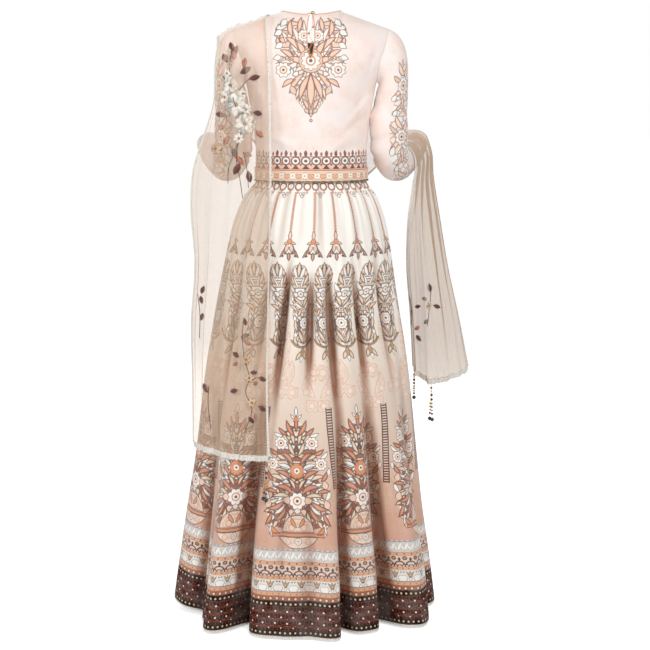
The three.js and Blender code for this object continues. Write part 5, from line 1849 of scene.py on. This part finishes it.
STEMS = [
    [(174, 286), (180, 250), (176, 204), (168, 166), (150, 124), (158, 92), (166, 50), (158, 0),
     (152, -42)],
    [(158, 92), (170, 60), (184, 24), (186, -10)], [(150, 60), (142, 24), (138, -18)],
    [(196, 228), (180, 206)], [(134, 222), (160, 196)],
    [(148, -300), (151, -344), (146, -392), (136, -432), (144, -462), (130, -500), (146, -548)],
    [(120, -430), (136, -440)], [(230, -462), (232, -500), (226, -560)],
    [(258, -262), (253, -306), (254, -362)], [(-203, -148), (-210, -190), (-202, -246)],
    [(-228, -280), (-234, -320), (-232, -394)], [(-278, -258), (-274, -300), (-268, -346)],
]


def leaf_shape(long, wide, high):
    """A leaf with a raised middle line: half its width is a power of a sine of the way along."""
    t = np.linspace(0, 1, 7)[1:-1]
    swell = np.sin(np.pi * t) ** 0.8
    zero = 0 * t
    left = np.stack([-wide / 2 * swell, t * long, zero], 1)
    middle = np.stack([zero, t * long, high * swell], 1)
    right = np.stack([wide / 2 * swell, t * long, zero], 1)
    points = np.concatenate([[[0, 0, 0]], left, middle, right, [[0, long, 0]]])
    n = len(t)
    low, ridge, far, tip = 1, 1 + n, 1 + 2 * n, 1 + 3 * n
    faces = [[0, far, ridge], [0, ridge, low], [0, low, far]]
    for k in range(n - 1):
        faces += [[ridge + k, far + k, far + k + 1, ridge + k + 1],
                  [low + k, ridge + k, ridge + k + 1, low + k + 1],
                  [far + k, low + k, low + k + 1, far + k + 1]]
    k = n - 1
    faces += [[ridge + k, far + k, tip], [low + k, ridge + k, tip], [far + k, low + k, tip]]
    return points, faces


class Face:
    """The dupatta's face as seen from behind: rays find places on it."""

    def __init__(self, grid):
        rows, columns = grid.shape[:2]
        a = (np.arange(rows - 1)[:, None] * columns + np.arange(columns - 1)).ravel()
        faces = np.stack([a, a + 1, a + columns + 1, a + columns], 1)
        self.tree = BVHTree.FromPolygons(grid.reshape(-1, 3).tolist(), faces.tolist())

    def at(self, x, z):
        """The first point behind (x, z), or None beside the cloth."""
        hit = self.tree.ray_cast(Vector((x, 1000, z)), Vector((0, -1, 0)))[0]
        return None if hit is None else np.array(hit)


def laid_on(face, placed):
    """Places and axes for shapes that start at (x, z) and run a length in a direction."""
    places, rights, ups, outs = [], [], [], []
    for x, z, angle, long in placed:
        turn = math.radians(angle)
        start = face.at(x, z)
        end = face.at(x + long * math.cos(turn), z + long * math.sin(turn))
        if start is None or end is None or abs(end[1] - start[1]) > long:
            continue
        up = unit(end - start)
        out = unit(np.array([0, 1.0, 0]) - up * up[1])
        places.append(start + out * 0.25)
        rights.append(np.cross(up, out))
        ups.append(up)
        outs.append(out)
    return [np.array(v) for v in (places, rights, ups, outs)]


def stitched_leaves(face, table, wide, high):
    """A raised leaf for each row of a table whose place is on the cloth. The width is a share of
    the length, and the height may be one number or one for each row."""
    parts = []
    for row, rise in zip(table, np.broadcast_to(high, len(table))):
        found = laid_on(face, [row])
        if len(found[0]):
            parts.append(copies(leaf_shape(row[3], row[3] * wide, rise), *found))
    return parts


def petal_rows(x, z, radius, count, ring, share):
    """Places of a flower's petals: a ring of them turned by a share of a step."""
    rows = []
    for k in range(count):
        angle = 360 * (k + ring) / count + 11 * radius
        turn = math.radians(angle)
        base = 0.12 * radius
        rows.append((x + base * math.cos(turn), z + base * math.sin(turn), angle,
                     radius * share * 0.88))
    return rows


def embroider():
    """Flowers of two rings of raised petals with a gold stud, raised leaves, and stems that are
    circles carried along curves on the cloth."""
    face = Face(dupatta_points)
    made = []
    for colour, table in FLOWERS.items():
        petals, rises = [], []
        for flower in table:
            for ring, share in ((0, 1.0), (0.5, 0.62)):
                petals += petal_rows(*flower, ring, share)
                rises += [1.7 + (1 - share) * 3.0] * flower[3]
        parts = stitched_leaves(face, petals, 1.05, rises)
        made.append(sewn(f"stitched_{colour}_petals", parts, "white_lace",
                         material=threads[colour]))
        hearts = laid_on(face, [(row[0], row[1], 90, 3.0) for row in table])
        heart = copies(dome_shape(1.8, 3.6, 10), *hearts)
        made.append(sewn(f"stitched_{colour}_hearts", [heart], "gold_bead", material=gold))
    for colour, table in LEAVES.items():
        parts = stitched_leaves(face, table, 0.5, 1.4)
        made.append(sewn(f"stitched_{colour}_leaves", parts, "sheer_net",
                         material=threads[colour]))
    parts = []
    for stem in STEMS:
        line = np.array(stem, float)
        t = np.linspace(0, 1, 10 * len(line))
        flat = spline(np.concatenate([line, 0 * line[:, :1]], 1)[:, None], t)[:, 0, :2]
        found = [face.at(x, z) for x, z in flat]
        found = np.array([point for point in found if point is not None])
        if len(found) > 3:
            parts.append(tube(found + [0, 0.5, 0], 0.75, 6, up=(0, 1, 0)))
    made.append(sewn("stitched_stems", parts, "sheer_net", material=threads["stem"]))
    return made


embroidery = embroider()

# ---- Bead tassels ----

TASSELS = named(
    "node row across long strands",
    ("dupatta_tassel_back", 0, 0.02, 95, 2), ("dupatta_tassel_outer", -1, 5 / 14, 94, 2),
    ("dupatta_tassel_inner", -1, 0.03, 69, 1))
# Beads down a tassel: share of its length, radius and colour.
TASSEL_BEADS = [
    (0.09, 3.2, "amber"), (0.18, 2.6, "clear"), (0.28, 3.4, "brown"), (0.4, 3.2, "black"),
    (0.51, 2.8, "gold"), (0.6, 2.8, "gold"), (0.69, 2.4, "amber"), (0.78, 2.8, "brown"),
    (0.93, 4.6, "black")]


def make_tassel(node, row, across, long, strands):
    """Straight threads from the dupatta's end, with spheres at shares of their length."""
    place = int(round(across * (DUPATTA_COLUMNS - 1)))
    top = dupatta_points[row, place] + [0, 0, -EDGING + 1.0]
    ends = []
    for k in range(strands):
        spread = (k - (strands - 1) / 2) * 6.5
        low = top + np.array([spread, 0, -long + 4 + 3 * k])
        ends.append(clear_of_skirt(low[None], 6.0)[0])
    groups = {}
    strings = []
    for k, low in enumerate(ends):
        path = mix(top, low, np.linspace(0, 1, 12)[:, None])
        strings.append(tube(path, 0.4, 5, up=(0, 1, 0)))
        for at, radius, colour in TASSEL_BEADS:
            if at < 0.5 and k:
                continue
            points, faces = ball_shape(radius, 12, 8)
            groups.setdefault(colour, []).append((points + mix(top, low, at), faces))
    name = node.removeprefix("dupatta_")
    made = [sewn(f"{name}_threads", strings, "glass_beads", node, material=threads["stem"])]
    for colour, parts in groups.items():
        made.append(sewn(f"{name}_{colour}", parts, "glass_beads",
                         material=bead_materials[colour]))
    return made


tassels = [piece for tassel in TASSELS for piece in make_tassel(**tassel)]

# ---- Each side's border, band and lace looked up; the lengths in metres are not used ----

for side, border_long, band_long in (("back", 1.13, 1.2), ("front", 0.96, 1.0)):
    skirt_sheets["border_" + side]
    skirt_sheets["band_" + side]
    skirt_sheets["border_" + side]
    skirt_sheets["lace_" + side]

# ---- Floor and finish ----

floor.data.materials.append(floor_paint())
